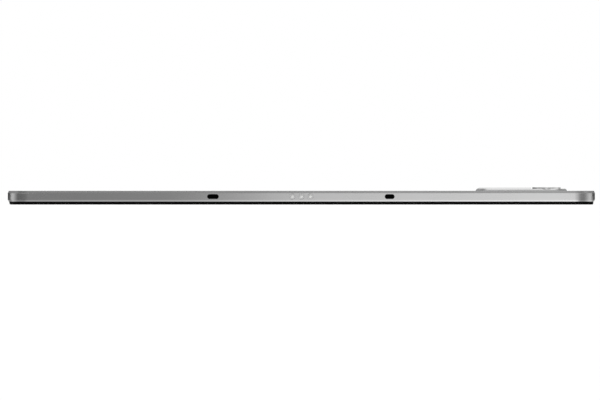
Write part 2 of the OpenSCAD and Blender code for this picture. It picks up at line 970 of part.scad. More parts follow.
module main_board() {
    color("#1d5a45")
        plate(board_z, board_top)
            difference() {
                union() {
                    translate([board_x0, board_y0])
                        square([board_x1 - board_x0, board_d]);
                    translate([ear_x0, tray_y - ear_d / 2])
                        square([board_x0 - ear_x0 + board_gap, ear_d]);
                }
                for (p = board_screw_places)
                    translate(p)
                        circle(d = screw_d + 2 * screw_gap);
            }
}

// Block under the main board, around a point
module under_board(x, y, size, h) {
    translate([x, y, 0])
        plate(board_z - h, board_z)
            square(size, center = true);
}

module board_chips() {
    color("#24262a") {
        under_board(can_a_x - can_a_l / 5, board_mid, processor_size, chip_t);
        under_board(can_a_x + can_a_l / 4, board_mid, memory_size, chip_t);
        under_board(can_b_x - can_b_l / 5, board_mid, charger_size, chip_t);
        under_board(can_b_x + can_b_l / 5, board_mid, storage_size, chip_t);
    }
}

module shield_can(x, l) {
    translate([x, board_mid, 0])
        difference() {
            plate(can_z, board_z)
                square([l, can_d], center = true);
            plate(can_z + can_wall, board_z + cut)
                square([l - 2 * can_wall, can_d - 2 * can_wall], center = true);
        }
}

module shield_cans() {
    color("#b4b7ba") {
        shield_can(can_a_x, can_a_l);
        shield_can(can_b_x, can_b_l);
    }
}

module thermal_pad() {
    color("#9aa7c4")
        translate([can_a_x - can_a_l / 5, board_mid, 0])
            plate(can_z + can_wall, board_z - chip_t)
                square(processor_size - 2 * pad_margin, center = true);
}

module graphite_sheet() {
    color("#3a3b3d")
        block(
            [can_a_x - can_a_l / 2, board_mid - can_d / 2, can_z - graphite_t],
            [can_b_x + can_b_l / 2, board_mid + can_d / 2, can_z]
        );
}

// Screw whose head bears on a face, with its thread in the back wall
module screw(place, face) {
    translate(place) {
        disc(head_d, face - head_h, face);
        disc(screw_d, face, back_z + thread_l - screw_gap);
    }
}

module screws() {
    color("#c0c2c4") {
        for (p = board_screw_places)
            screw(p, board_z);
        for (p = foot_screw_places)
            screw(p, back_z - bracket_t);
    }
}

// Charging port

module usb_board() {
    color("#1d5a45")
        difference() {
            at_wall("left", 0)
                block(
                    [-usb_board_w / 2, usb_back, board_z],
                    [usb_board_w / 2, usb_back + usb_board_l, board_top]
                );
            for (p = board_screw_places)
                translate(p)
                    disc(screw_d + 2 * screw_gap, board_z - cut, board_top + cut);
        }
}

module usb_c_shell() {
    color("#c8cacc")
        at_wall("left", 0, port_z)
            difference() {
                wall_bar(usb_w, usb_h, usb_sink, usb_back);
                wall_bar(usb_w - 2 * usb_wall, usb_h - 2 * usb_wall, usb_sink - cut, usb_back + cut);
            }
}

module usb_c_tongue() {
    color("#1a1b1d")
        at_wall("left", 0, port_z) {
            wall_bar(usb_w - 2 * usb_wall, usb_h - 2 * usb_wall, usb_back - usb_base, usb_back);
            block(
                [-tongue_w / 2, usb_sink + usb_gap, -tongue_t / 2],
                [tongue_w / 2, usb_back - usb_base, tongue_t / 2]
            );
        }
}

// Ribbon on the back wall from the main board to the port's board
module board_link_ribbon() {
    port_end = -body_w / 2 + usb_back + usb_board_l - ribbon_lap / 2;
    color("#6b4a1e")
        plate(back_z - ribbon_t, back_z) {
            translate([link_x - ribbon_w / 2, -ribbon_w / 2])
                square([ribbon_w, board_y0 + ribbon_lap + ribbon_w / 2]);
            translate([port_end, -ribbon_w / 2])
                square([link_x + ribbon_w / 2 - port_end, ribbon_w]);
        }
}

// Ribbon on the back wall from the docking contacts, between the cells, to the main board
module dock_ribbon() {
    color("#6b4a1e")
        block(
            [-ribbon_w / 2, -body_d / 2 + wall_t + base_d, back_z - ribbon_t],
            [ribbon_w / 2, board_y0 + ribbon_lap, back_z]
        );
}

// Docking edge

module at_contacts() {
    for (i = [-1:1])
        at_wall("near", i * contact_pitch, port_z)
            children();
}

module contact_base() {
    color("#8d9093")
        difference() {
            union() {
                at_contacts()
                    wall_rod(insulator_d, insulator_sink, wall_t);
                at_wall("near", 0)
                    block([-base_l / 2, wall_t, base_z], [base_l / 2, wall_t + base_d, back_z]);
            }
            at_contacts()
                wall_rod(contact_d + 2 * contact_gap, -cut, wall_t + base_d + cut);
        }
}

// Contact with a domed face, from its own axis along the wall's depth
module contact_pins() {
    dome_r = (pow(contact_d / 2, 2) + pow(contact_dome, 2)) / (2 * contact_dome);
    color("#d9d7cf")
        at_contacts() {
            wall_rod(contact_d, contact_dome, wall_t + base_d);
            intersection() {
                translate([0, dome_r, 0])
                    sphere(dome_r);
                wall_rod(contact_d, 0, contact_dome);
            }
        }
}

module guide_socket(x, l) {
    side = l / 2 + liner_t;
    color("#0d0d0e")
        at_wall("near", x)
            difference() {
                block([-side, wall_t, port_z - guide_h / 2 - liner_t], [side, guide_back, back_z]);
                translate([0, 0, port_z])
                    wall_bar(l, guide_h, wall_t - cut, wall_t + guide_depth);
            }
}

module guide_socket_left() {
    guide_socket(-guide_x, guide_left_l);
}

module guide_socket_right() {
    guide_socket(guide_x, guide_right_l);
}

module dock_magnets() {
    color("#aeb2b6")
        for (s = [-1, 1], x = [magnet_inner, magnet_outer])
            at_wall("near", s * x)
                block([-magnet_l / 2, wall_t, back_z - magnet_h], [magnet_l / 2, wall_t + magnet_d, back_z]);
}

// Sound

module driver_outline(gap) {
    translate([0, (speaker_front + speaker_back) / 2 + driver_shift])
        rounded_rect(driver_l + 2 * gap, driver_w + 2 * gap, driver_r);
}

// Loudspeaker box with its sound port behind the grille and a well for the driver
module speaker_box(wall, y) {
    color("#202225")
        at_wall(wall, y)
            difference() {
                block([-speaker_l / 2, speaker_front, speaker_z], [speaker_l / 2, speaker_back, back_z]);
                translate([0, 0, port_z])
                    wall_bar(grille_span, grille_h, speaker_front - cut, speaker_front + port_depth);
                plate(speaker_z - cut, speaker_z + driver_h)
                    driver_outline(seat_gap);
            }
}

module speaker_upper_left() {
    speaker_box("left", speaker_y);
}

module speaker_lower_left() {
    speaker_box("left", -speaker_y);
}

module speaker_upper_right() {
    speaker_box("right", speaker_y);
}

module speaker_lower_right() {
    speaker_box("right", -speaker_y);
}

module speaker_drivers() {
    color("#6f7276")
        at_speakers()
            plate(speaker_z, speaker_z + driver_h)
                driver_outline(0);
}

module speaker_meshes() {
    color("#121314")
        at_speakers()
            translate([0, 0, port_z])
                wall_bar(grille_span + 2 * mesh_margin, grille_h + 2 * mesh_margin, wall_t, wall_t + mesh_t);
}

module microphones() {
    color("#c9b26b")
        for (s = [-1, 1])
            at_wall("far", s * mic_x, port_z)
                translate([0, wall_t + mic_size[1] / 2, 0])
                    cube(mic_size, center = true);
}

// Front camera

module front_camera() {
    color("#26282c")
        at_wall("far", 0)
            translate([0, front_mid, 0]) {
                plate(bezel_top, ribbon_z)
                    square(front_size, center = true);
                disc(front_nose_d, bezel_z, bezel_top);
            }
}

module front_ribbon() {
    color("#3b2a17")
        at_wall("far", 0)
            block(
                [-front_size / 2, front_from, ribbon_z],
                [front_size / 2, board_margin + ribbon_lap, board_z]
            );
}

module light_sensor() {
    color("#3d4046")
        at_wall("far", sensor_x)
            translate([0, front_mid, 0])
                plate(bezel_top, bezel_top + sensor_h)
                    square(sensor_size, center = true);
}

// Keys

// Button that stands through a wall and is held by its flange
module key_button(l) {
    wall_bar(l, key_h, -key_proud, wall_t + flange_gap);
    wall_bar(l + 2 * flange_w, key_h + 2 * flange_w, wall_t + flange_gap, flange_back);
}

module key_plunger() {
    wall_rod(plunger_d, flange_back, switch_front + plunger_in);
}

module key_switch() {
    difference() {
        block([-switch_w / 2, switch_front, -switch_h / 2], [switch_w / 2, switch_back, switch_h / 2]);
        wall_rod(plunger_d + 2 * plunger_gap, switch_front - cut, switch_front + bore_depth);
    }
}

// Angle bracket behind the switches, with its foot on the back wall
module key_bracket(l) {
    top = back_z - port_z;
    block([-l / 2, switch_back, -switch_h / 2], [l / 2, switch_back + bracket_t, top]);
    block([-l / 2, switch_back, top - bracket_t], [l / 2, switch_back + bracket_foot, top]);
}

module at_power() {
    at_wall("right", power_y, port_z)
        children();
}

module at_volume(side) {
    at_wall("far", volume_x + side * volume_step, port_z)
        children();
}

module power_button() {
    color("#a3a5a8")
        at_power()
            key_button(power_l);
}

module power_plunger() {
    color("#e9e4d4")
        at_power()
            key_plunger();
}

module power_switch() {
    color("#2b2d30")
        at_power()
            key_switch();
}

module volume_up_button() {
    color("#a3a5a8")
        at_volume(1)
            key_button(volume_l);
}

module volume_up_plunger() {
    color("#e9e4d4")
        at_volume(1)
            key_plunger();
}

module volume_down_button() {
    color("#a3a5a8")
        at_volume(-1)
            key_button(volume_l);
}

module volume_down_plunger() {
    color("#e9e4d4")
        at_volume(-1)
            key_plunger();
}

module volume_switches() {
    color("#2b2d30")
        for (side = [-1, 1])
            at_volume(side)
                key_switch();
}

module key_brackets() {
    color("#b4b7ba")
        difference() {
            union() {
                at_power()
                    key_bracket(power_l);
                at_wall("far", volume_x, port_z)
                    key_bracket(volume_bracket_l);
            }
            for (p = foot_screw_places)
                translate(p)
                    disc(screw_d + 2 * screw_gap, back_z - bracket_t - cut, back_z + cut);
        }
}

// Card tray

module card_tray() {
    opening = card_w + 2 * card_gap;
    length = card_l + 2 * card_gap;
    floor_z = tray_t / 2 - card_t;
    color("#a3a5a8")
        at_wall("left", tray_y, tray_z)
            difference() {
                union() {
                    wall_bar(door_w, door_h, 0, wall_t);
                    block([-tray_w / 2, wall_t, -tray_t / 2], [tray_w / 2, tray_l, tray_t / 2]);
                }
                block([-opening / 2, card_y, floor_z], [opening / 2, card_y + length, tray_t]);
                block(
                    [-opening / 2 + card_ledge, card_y + card_ledge, -tray_t],
                    [opening / 2 - card_ledge, card_y + length - card_ledge, tray_t]
                );
                translate([pin_x, 0, 0])
                    wall_rod(pin_d, -cut, card_y);
            }
}

// Cage of the card reader under the end of the main board, open towards the wall
module card_reader() {
    half = tray_w / 2 + tray_gap;
    color("#b4b7ba")
        at_wall("left", tray_y)
            difference() {
                block(
                    [-reader_w / 2, reader_front, board_z - reader_h],
                    [reader_w / 2, reader_back, board_z]
                );
                block(
                    [-half, reader_front - cut, tray_z - tray_t / 2 - tray_gap],
                    [half, tray_l + tray_gap, tray_z + tray_t / 2 + tray_gap]
                );
            }
}

rear_housing();
antenna_window();
wifi_antennas();
camera_island();
lens_ring();
lens_window();
flash_lens();
flash_led();
rear_camera_module();
lens_barrel();
camera_ribbon();
cover_glass();
bezel_frame();
display_adhesive();
lcd_panel();
backlight_unit();
display_ribbon();
battery_cell_left();
battery_cell_right();
battery_tapes();
battery_board();
battery_lead();
main_board();
board_chips();
shield_cans();
thermal_pad();
graphite_sheet();
screws();
usb_board();
usb_c_shell();
usb_c_tongue();
board_link_ribbon();
dock_ribbon();
contact_base();
contact_pins();
guide_socket_left();
guide_socket_right();
dock_magnets();
speaker_upper_left();
speaker_lower_left();
speaker_upper_right();
speaker_lower_right();
speaker_drivers();
speaker_meshes();
microphones();
front_camera();
front_ribbon();
light_sensor();
power_button();
power_plunger();
power_switch();
volume_up_button();
volume_up_plunger();
volume_down_button();
volume_down_plunger();
volume_switches();
key_brackets();
card_tray();
card_reader();
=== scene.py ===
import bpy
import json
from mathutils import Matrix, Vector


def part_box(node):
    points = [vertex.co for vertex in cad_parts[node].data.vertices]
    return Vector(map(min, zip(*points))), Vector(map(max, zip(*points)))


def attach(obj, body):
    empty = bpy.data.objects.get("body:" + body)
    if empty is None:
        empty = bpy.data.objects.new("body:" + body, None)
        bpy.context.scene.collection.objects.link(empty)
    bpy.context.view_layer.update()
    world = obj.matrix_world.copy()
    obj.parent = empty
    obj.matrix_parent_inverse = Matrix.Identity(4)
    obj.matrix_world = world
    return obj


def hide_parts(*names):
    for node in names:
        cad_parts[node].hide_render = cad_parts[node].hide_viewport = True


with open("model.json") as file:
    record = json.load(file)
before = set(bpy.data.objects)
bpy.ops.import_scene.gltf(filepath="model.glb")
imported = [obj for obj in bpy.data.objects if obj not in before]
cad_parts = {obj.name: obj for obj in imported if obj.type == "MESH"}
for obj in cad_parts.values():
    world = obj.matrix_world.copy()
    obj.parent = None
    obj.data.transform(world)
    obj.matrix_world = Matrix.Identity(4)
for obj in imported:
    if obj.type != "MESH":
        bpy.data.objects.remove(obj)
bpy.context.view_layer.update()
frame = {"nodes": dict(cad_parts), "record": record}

import json
import math

import bmesh
import bpy

MM = 0.001
node_of = frame["nodes"]
scene = bpy.context.scene
scene.view_settings.view_transform = "Standard"


# Camera, level and nearly straight on at the docking edge

# The picture is 600 pixels wide, and its middle lies 1.3 pixels left of the tablet's middle. The camera
# stands a little to the right and turns back to that place, so that the island lines up behind the edge.
PICTURE_W = 600
MM_PER_PIXEL = 0.4991
LENS_MM = 1000
SENSOR_MM = 36
VIEW_X = -0.65 * MM
VIEW_Z = 2.295 * MM
ASIDE = 16 * MM
CLIP_NEAR = 0.01
CLIP_FAR = 60

housing_lo, housing_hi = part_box("rear_housing")
dock_y = housing_lo.y
view_distance = PICTURE_W * MM_PER_PIXEL * MM * LENS_MM / SENSOR_MM

camera_data = bpy.data.cameras.new("camera")
camera_data.sensor_width = SENSOR_MM
camera_data.lens = LENS_MM
camera_data.clip_start = CLIP_NEAR
camera_data.clip_end = CLIP_FAR
camera = bpy.data.objects.new("camera", camera_data)
camera.location = (VIEW_X + ASIDE, dock_y - view_distance, VIEW_Z)
camera.rotation_euler = (math.radians(90), 0, math.atan2(ASIDE, view_distance))
scene.collection.objects.link(camera)
scene.camera = camera


# Helpers

def linear(hex_colour):
    """An sRGB hex colour such as #C0C0C0 as linear red, green, blue and alpha."""
    channels = [int(hex_colour[i:i + 2], 16) / 255 for i in (1, 3, 5)]
    return tuple(c / 12.92 if c <= 0.04045 else ((c + 0.055) / 1.055) ** 2.4 for c in channels) + (1.0,)


def per_metre(size_mm):
    """Pattern scale that gives one cell of this size."""
    return 1 / (size_mm * MM)


# At scale 1 the bands and rings of a wave pattern lie this far apart.
WAVE_LENGTH = 2 * math.pi / 20


def add(tree, kind, inputs=None, stops=(), **settings):
    """Adds a node with its settings and links.

    An input is a value, another node's output, or a node, which gives its first output in use.
    Stops are the places and hex colours of a colour ramp, in rising order.
    """
    node = tree.nodes.new("ShaderNode" + kind)
    for name, value in settings.items():
        setattr(node, name, value)
    for i, (where, colour) in enumerate(stops):
        points = node.color_ramp.elements
        point = points[i] if i < len(points) else points.new(where)
        point.position = where
        point.color = linear(colour)
    for name, value in (inputs or {}).items():
        if isinstance(value, bpy.types.Node):
            value = next(output for output in value.outputs if output.enabled)
        if isinstance(value, bpy.types.NodeSocket):
            tree.links.new(value, node.inputs[name])
        else:
            node.inputs[name].default_value = value
    return node


def made(recipe):
    """The material of a recipe, which takes a tree and places on the tablet and returns a shader."""
    material = bpy.data.materials.new(recipe.__name__)
    material.use_nodes = True
    tree = material.node_tree
    tree.nodes.clear()
    place = add(tree, "TexCoord").outputs["Object"]
    add(tree, "OutputMaterial", {"Surface": recipe(tree, place)})
    return material


# Finishes

def bead_blasted_aluminium(tree, place):
    """Aluminium, milled, bead-blasted and anodised grey. The eye sees an even, soft satin with a very fine
    grain, and brighter cut chamfers along the display."""
    # The beads leave pits of about 0.1 mm, drawn five times as coarse so that they show.
    grain = add(tree, "TexNoise", {"Vector": place, "Scale": per_metre(0.5), "Detail": 3.0})
    clouds = add(tree, "TexNoise", {"Vector": place, "Scale": per_metre(45), "Detail": 4.0})
    blasted = add(tree, "ValToRGB", {"Fac": clouds}, ((0.30, "#BABABA"), (0.70, "#BFBFBF")))
    # The cut chamfers are the faces that look down by more than about 20 degrees.
    facing = add(tree, "NewGeometry").outputs["True Normal"]
    upward = add(tree, "SeparateXYZ", {"Vector": facing}).outputs["Z"]
    cut = add(tree, "MapRange", {
        "Value": upward, "From Min": -0.42, "From Max": -0.30, "To Min": 1.0, "To Max": 0.0,
    })
    colour = add(tree, "Mix", {"Factor": cut, "A": blasted, "B": linear("#D7D7D7")}, data_type="RGBA")
    satin = add(tree, "MapRange", {
        "Value": clouds, "From Min": 0.3, "From Max": 0.7, "To Min": 0.25, "To Max": 0.29,
    })
    # The edges round the back are blended more softly than the cut ones at the display.
    height = add(tree, "SeparateXYZ", {"Vector": place}).outputs["Z"]
    radius = add(tree, "MapRange", {
        "Value": height, "From Min": 5.0 * MM, "From Max": 5.4 * MM,
        "To Min": 0.12 * MM, "To Max": 0.4 * MM,
    })
    broken_edge = add(tree, "Bevel", {"Radius": radius}, samples=4)
    pits = add(tree, "Bump", {
        "Height": grain, "Distance": 0.004 * MM, "Strength": 0.35, "Normal": broken_edge,
    })
    return add(tree, "BsdfPrincipled", {
        "Base Color": colour, "Metallic": 1.0, "Roughness": satin, "Normal": pits,
    })


def polished_aluminium(tree, place):
    """Aluminium, milled, polished and anodised. The eye sees a brighter, smoother satin than the back."""
    grain = add(tree, "TexNoise", {"Vector": place, "Scale": per_metre(0.4), "Detail": 2.0})
    clouds = add(tree, "TexNoise", {"Vector": place, "Scale": per_metre(18), "Detail": 3.0})
    colour = add(tree, "ValToRGB", {"Fac": clouds}, ((0.30, "#CACACA"), (0.70, "#D0D0D0")))
    satin = add(tree, "MapRange", {
        "Value": clouds, "From Min": 0.3, "From Max": 0.7, "To Min": 0.20, "To Max": 0.24,
    })
    broken_edge = add(tree, "Bevel", {"Radius": 0.1 * MM}, samples=4)
    pits = add(tree, "Bump", {
        "Height": grain, "Distance": 0.003 * MM, "Strength": 0.25, "Normal": broken_edge,
    })
    return add(tree, "BsdfPrincipled", {
        "Base Color": colour, "Metallic": 1.0, "Roughness": satin, "Normal": pits,
    })


def turned_steel(tree, place):
    """Stainless steel, turned and polished. The eye sees a bright soft mirror with faint rings from the
    lathe."""
    ring_lo, ring_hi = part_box("lens_ring")
    about = add(tree, "VectorMath", {0: place, 1: (ring_lo + ring_hi) / 2}, operation="SUBTRACT")
    # One turn of the tool is about 0.05 mm wide, drawn four times as coarse so that it shows.
    turns = add(tree, "TexWave", {
        "Vector": about, "Scale": per_metre(0.2) * WAVE_LENGTH, "Distortion": 0.3, "Detail": 1.0,
    }, wave_type="RINGS", rings_direction="Z").outputs["Fac"]
    colour = add(tree, "ValToRGB", {"Fac": turns}, ((0.0, "#DADADA"), (1.0, "#E3E3E3")))
    shine = add(tree, "MapRange", {"Value": turns, "To Min": 0.18, "To Max": 0.24})
    broken_edge = add(tree, "Bevel", {"Radius": 0.12 * MM}, samples=4)
    grooves = add(tree, "Bump", {
        "Height": turns, "Distance": 0.001 * MM, "Strength": 0.2, "Normal": broken_edge,
    })
    return add(tree, "BsdfPrincipled", {
        "Base Color": colour, "Metallic": 1.0, "Roughness": shine, "Normal": grooves,
    })


def printed_cover_glass(tree, place):
    """Toughened glass with an anti-reflection coat, printed black round the display from behind. The eye
    sees deep black with a weak, sharp shine, dulled a little by fingers, a cooler black where the display
    is, and the small round window of the front camera."""
    smears = add(tree, "TexNoise", {
        "Vector": place, "Scale": per_metre(30), "Detail": 5.0, "Distortion": 0.6,
    })
    ink = add(tree, "ValToRGB", {"Fac": smears}, ((0.35, "#131313"), (0.75, "#171717")))
    panel_lo, panel_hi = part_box("lcd_panel")
    half = (panel_hi - panel_lo) / 2
    about = add(tree, "VectorMath", {0: place, 1: (panel_lo + panel_hi) / 2}, operation="SUBTRACT")
    about = add(tree, "VectorMath", {0: about}, operation="ABSOLUTE")
    away = add(tree, "SeparateXYZ", {"Vector": about})
    in_width = add(tree, "Math", {0: away.outputs["X"], 1: half.x}, operation="LESS_THAN")
    in_depth = add(tree, "Math", {0: away.outputs["Y"], 1: half.y}, operation="LESS_THAN")
    display = add(tree, "Math", {0: in_width, 1: in_depth}, operation="MULTIPLY")
    colour = add(tree, "Mix", {"Factor": display, "A": ink, "B": linear("#0B0D11")}, data_type="RGBA")
    eye_lo, eye_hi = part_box("front_camera")
    eye = (eye_lo + eye_hi) / 2
    level = add(tree, "VectorMath", {0: place, 1: (1.0, 1.0, 0.0)}, operation="MULTIPLY")
    from_eye = add(tree, "VectorMath", {0: level, 1: (eye.x, eye.y, 0.0)}, operation="DISTANCE")
    window = add(tree, "MapRange", {"Value": from_eye, "From Min": 1.2 * MM, "From Max": 2.0 * MM})
    pupil = add(tree, "ValToRGB", {"Fac": window}, ((0.1, "#04050A"), (0.5, "#2A2C2F"), (0.9, "#141516")))
    inside = add(tree, "Math", {0: from_eye, 1: 2.0 * MM}, operation="LESS_THAN")
    colour = add(tree, "Mix", {"Factor": inside, "A": colour, "B": pupil}, data_type="RGBA")
    shine = add(tree, "MapRange", {
        "Value": smears, "From Min": 0.4, "From Max": 0.75, "To Min": 0.05, "To Max": 0.14,
    })
    return add(tree, "BsdfPrincipled", {
        "Base Color": colour, "Roughness": shine, "IOR": 1.5, "Specular IOR Level": 0.03,
    })


def coated_lens_window(tree, place):
    """Toughened clear glass with a violet anti-reflection coat. The eye sees through it, past a little
    dust."""
    dust = add(tree, "TexNoise", {"Vector": place, "Scale": per_metre(2.5), "Detail": 4.0})
    tint = add(tree, "ValToRGB", {"Fac": dust}, ((0.3, "#E9EAF2"), (0.7, "#F4F4F8")))
    haze = add(tree, "MapRange", {
        "Value": dust, "From Min": 0.5, "From Max": 0.8, "To Min": 0.0, "To Max": 0.03,
    })
    return add(tree, "BsdfPrincipled", {
        "Base Color": tint, "Roughness": haze, "IOR": 1.52, "Transmission Weight": 1.0,
        "Specular IOR Level": 0.2, "Thin Film Thickness": 100.0, "Thin Film IOR": 1.38,
    })


def frosted_polycarbonate(tree, place):
    """Polycarbonate, moulded with fine rings. The eye sees a pale, milky, slightly warm diffuser."""
    haze = add(tree, "TexNoise", {"Vector": place, "Scale": per_metre(0.6), "Detail": 3.0})
    colour = add(tree, "ValToRGB", {"Fac": haze}, ((0.3, "#EDE6CF"), (0.7, "#F5F0DE")))
    frost = add(tree, "Bump", {"Height": haze, "Distance": 0.01 * MM, "Strength": 0.4})
    return add(tree, "BsdfPrincipled", {
        "Base Color": colour, "Roughness": 0.28, "IOR": 1.58, "Transmission Weight": 0.35, "Normal": frost,
    })


def phosphor_silicone(tree, place):
    """Silicone filled with yellow phosphor over a diode. The eye sees an egg-yellow, grainy, matt pad."""
    grains = add(tree, "TexVoronoi", {"Vector": place, "Scale": per_metre(0.12)})
    colour = add(tree, "ValToRGB", {"Fac": grains}, ((0.1, "#E6CF3C"), (0.8, "#F0DE6A")))
    bumps = add(tree, "Bump", {"Height": grains, "Distance": 0.01 * MM})
    return add(tree, "BsdfPrincipled", {
        "Base Color": colour, "Roughness": 0.6, "IOR": 1.41, "Normal": bumps,
    })


def glass_filled_nylon(tree, place):
    """Nylon filled with glass fibre, moulded and painted to match the metal. The eye sees the grey of the
    back without its sheen, with a fine moulded grain."""
    grain = add(tree, "TexNoise", {"Vector": place, "Scale": per_metre(0.35), "Detail": 4.0})
    clouds = add(tree, "TexNoise", {"Vector": place, "Scale": per_metre(20), "Detail": 2.0})
    colour = add(tree, "ValToRGB", {"Fac": clouds}, ((0.3, "#B3B3B3"), (0.7, "#B8B8B8")))
    moulded = add(tree, "Bump", {"Height": grain, "Distance": 0.012 * MM, "Strength": 0.5})
    return add(tree, "BsdfPrincipled", {
        "Base Color": colour, "Roughness": 0.42, "IOR": 1.53, "Normal": moulded,
    })


def mineral_filled_nylon(tree, place):
    """Nylon filled with white mineral, moulded. The eye sees a pale grey, nearly matt ring."""
    grain = add(tree, "TexNoise", {"Vector": place, "Scale": per_metre(0.3), "Detail": 3.0})
    colour = add(tree, "ValToRGB", {"Fac": grain}, ((0.3, "#D1D1D1"), (0.7, "#D9D9D9")))
    moulded = add(tree, "Bump", {"Height": grain, "Distance": 0.008 * MM, "Strength": 0.4})
    return add(tree, "BsdfPrincipled", {
        "Base Color": colour, "Roughness": 0.5, "IOR": 1.53, "Normal": moulded,
    })


def black_moulded_plastic(tree, place):
    """ABS and polycarbonate blend, moulded in a spark-eroded tool. The eye sees a dull, grainy black."""
    grain = add(tree, "TexNoise", {"Vector": place, "Scale": per_metre(0.25), "Detail": 4.0})
    colour = add(tree, "ValToRGB", {"Fac": grain}, ((0.3, "#080808"), (0.7, "#0E0E0E")))
    dull = add(tree, "MapRange", {"Value": grain, "To Min": 0.48, "To Max": 0.62})
    eroded = add(tree, "Bump", {"Height": grain, "Distance": 0.015 * MM, "Strength": 0.5})
    return add(tree, "BsdfPrincipled", {
        "Base Color": colour, "Roughness": dull, "IOR": 1.5, "Specular IOR Level": 0.04, "Normal": eroded,
    })


def blackened_magnesium(tree, place):
    """Magnesium, black-coated against stray light. The eye sees a dense, nearly matt black."""
    grit = add(tree, "TexNoise", {"Vector": place, "Scale": per_metre(0.15), "Detail": 3.0})
    colour = add(tree, "ValToRGB", {"Fac": grit}, ((0.3, "#09090A"), (0.7, "#121315")))
    dull = add(tree, "MapRange", {"Value": grit, "To Min": 0.40, "To Max": 0.55})
    coat = add(tree, "Bump", {"Height": grit, "Distance": 0.008 * MM, "Strength": 0.4})
    return add(tree, "BsdfPrincipled", {
        "Base Color": colour, "Roughness": dull, "IOR": 1.5, "Specular IOR Level": 0.12, "Normal": coat,
    })


def acrylic_foam_tape(tree, place):
    """Black acrylic foam tape, die-cut. The eye sees a matt edge full of tiny closed cells."""
    cells = add(tree, "TexVoronoi", {"Vector": place, "Scale": per_metre(0.2)})
    colour = add(tree, "ValToRGB", {"Fac": cells}, ((0.1, "#060607"), (0.7, "#101112")))
    foam = add(tree, "Bump", {"Height": cells, "Distance": 0.05 * MM})
    return add(tree, "BsdfPrincipled", {
        "Base Color": colour, "Roughness": 0.9, "IOR": 1.47, "Normal": foam,
    })


def polyimide_circuit(tree, place):
    """Polyimide film laminated over etched copper. The eye sees glossy amber film with darker lines."""
    # Tracks lie 0.6 mm apart.
    tracks = add(tree, "TexWave", {
        "Vector": place, "Scale": per_metre(0.6) * WAVE_LENGTH,
    }, bands_direction="X").outputs["Fac"]
    colour = add(tree, "ValToRGB", {"Fac": tracks}, ((0.35, "#4A2F12"), (0.65, "#8A5A22")))
    gloss = add(tree, "MapRange", {"Value": tracks, "To Min": 0.22, "To Max": 0.32})
    raised = add(tree, "Bump", {"Height": tracks, "Distance": 0.015 * MM, "Strength": 0.5})
    return add(tree, "BsdfPrincipled", {
        "Base Color": colour, "Roughness": gloss, "IOR": 1.7, "Normal": raised,
    })


def liquid_crystal_glass(tree, place):
    """Two sheets of thin glass with colour filters and a polariser. The eye sees a dark, faintly striped
    sheet."""
    # Columns of colour lie 0.09 mm apart, drawn five times as coarse.
    columns = add(tree, "TexWave", {
        "Vector": place, "Scale": per_metre(0.45) * WAVE_LENGTH,
    }, bands_direction="X").outputs["Fac"]
    colour = add(tree, "ValToRGB", {"Fac": columns}, (
        (0.0, "#101418"), (0.5, "#141A1C"), (1.0, "#181A22"),
    ))
    return add(tree, "BsdfPrincipled", {"Base Color": colour, "Roughness": 0.08, "IOR": 1.51})


def printed_acrylic(tree, place):
    """Acrylic sheet, cast and printed with white dots. The eye sees a milky sheet with a fine dot grid."""
    dots = add(tree, "TexVoronoi", {"Vector": place, "Scale": per_metre(0.8), "Randomness": 0.1})
    colour = add(tree, "ValToRGB", {"Fac": dots}, ((0.25, "#FAFAF8"), (0.35, "#DDE2E4")))
    return add(tree, "BsdfPrincipled", {
        "Base Color": colour, "Roughness": 0.35, "IOR": 1.49, "Transmission Weight": 0.2,
    })


def laminate_pouch(tree, place):
    """Aluminium laminate in black polymer, folded round a cell. The eye sees soft creases and a low
    sheen."""
    creases = add(tree, "TexNoise", {
        "Vector": place, "Scale": per_metre(9), "Detail": 4.0, "Distortion": 0.8,
    })
    colour = add(tree, "ValToRGB", {"Fac": creases}, ((0.3, "#26282B"), (0.7, "#34373A")))
    sheen = add(tree, "MapRange", {"Value": creases, "To Min": 0.32, "To Max": 0.48})
    folds = add(tree, "Bump", {"Height": creases, "Distance": 0.25 * MM, "Strength": 0.4})
    return add(tree, "BsdfPrincipled", {
        "Base Color": colour, "Roughness": sheen, "IOR": 1.55, "Normal": folds,
    })


def solder_masked_board(tree, place):
    """Glass-fibre board under green solder mask. The eye sees green with paler tracks and tinned pads."""
    fields = add(tree, "TexVoronoi", {
        "Vector": place, "Scale": per_metre(3.2), "Randomness": 0.7,
    }, distance="CHEBYCHEV")
    tracks = add(tree, "TexBrick", {
        "Vector": place, "Scale": 1.0, "Brick Width": 2.4 * MM, "Row Height": 0.6 * MM,
        "Mortar Size": 0.12 * MM,
    }).outputs["Fac"]
    mask = add(tree, "ValToRGB", {"Fac": tracks}, ((0.2, "#0D4A2C"), (0.8, "#17663E")))
    pads = add(tree, "MapRange", {
        "Value": fields, "From Min": 0.16, "From Max": 0.20, "To Min": 1.0, "To Max": 0.0,
    })
    colour = add(tree, "Mix", {"Factor": pads, "A": mask, "B": linear("#C9C2A6")}, data_type="RGBA")
    raised = add(tree, "Bump", {"Height": tracks, "Distance": 0.03 * MM, "Strength": 0.6})
    return add(tree, "BsdfPrincipled", {
        "Base Color": colour, "Metallic": pads, "Roughness": 0.34, "IOR": 1.55, "Normal": raised,
    })


def epoxy_moulding_compound(tree, place):
    """Epoxy filled with silica, moulded. The eye sees a flat charcoal with fine sandy grain."""
    sand = add(tree, "TexNoise", {"Vector": place, "Scale": per_metre(0.12), "Detail": 3.0})
    colour = add(tree, "ValToRGB", {"Fac": sand}, ((0.3, "#1A1C1E"), (0.7, "#27292C")))
    rough = add(tree, "Bump", {"Height": sand, "Distance": 0.01 * MM, "Strength": 0.5})
    return add(tree, "BsdfPrincipled", {
        "Base Color": colour, "Roughness": 0.62, "IOR": 1.55, "Normal": rough,
    })


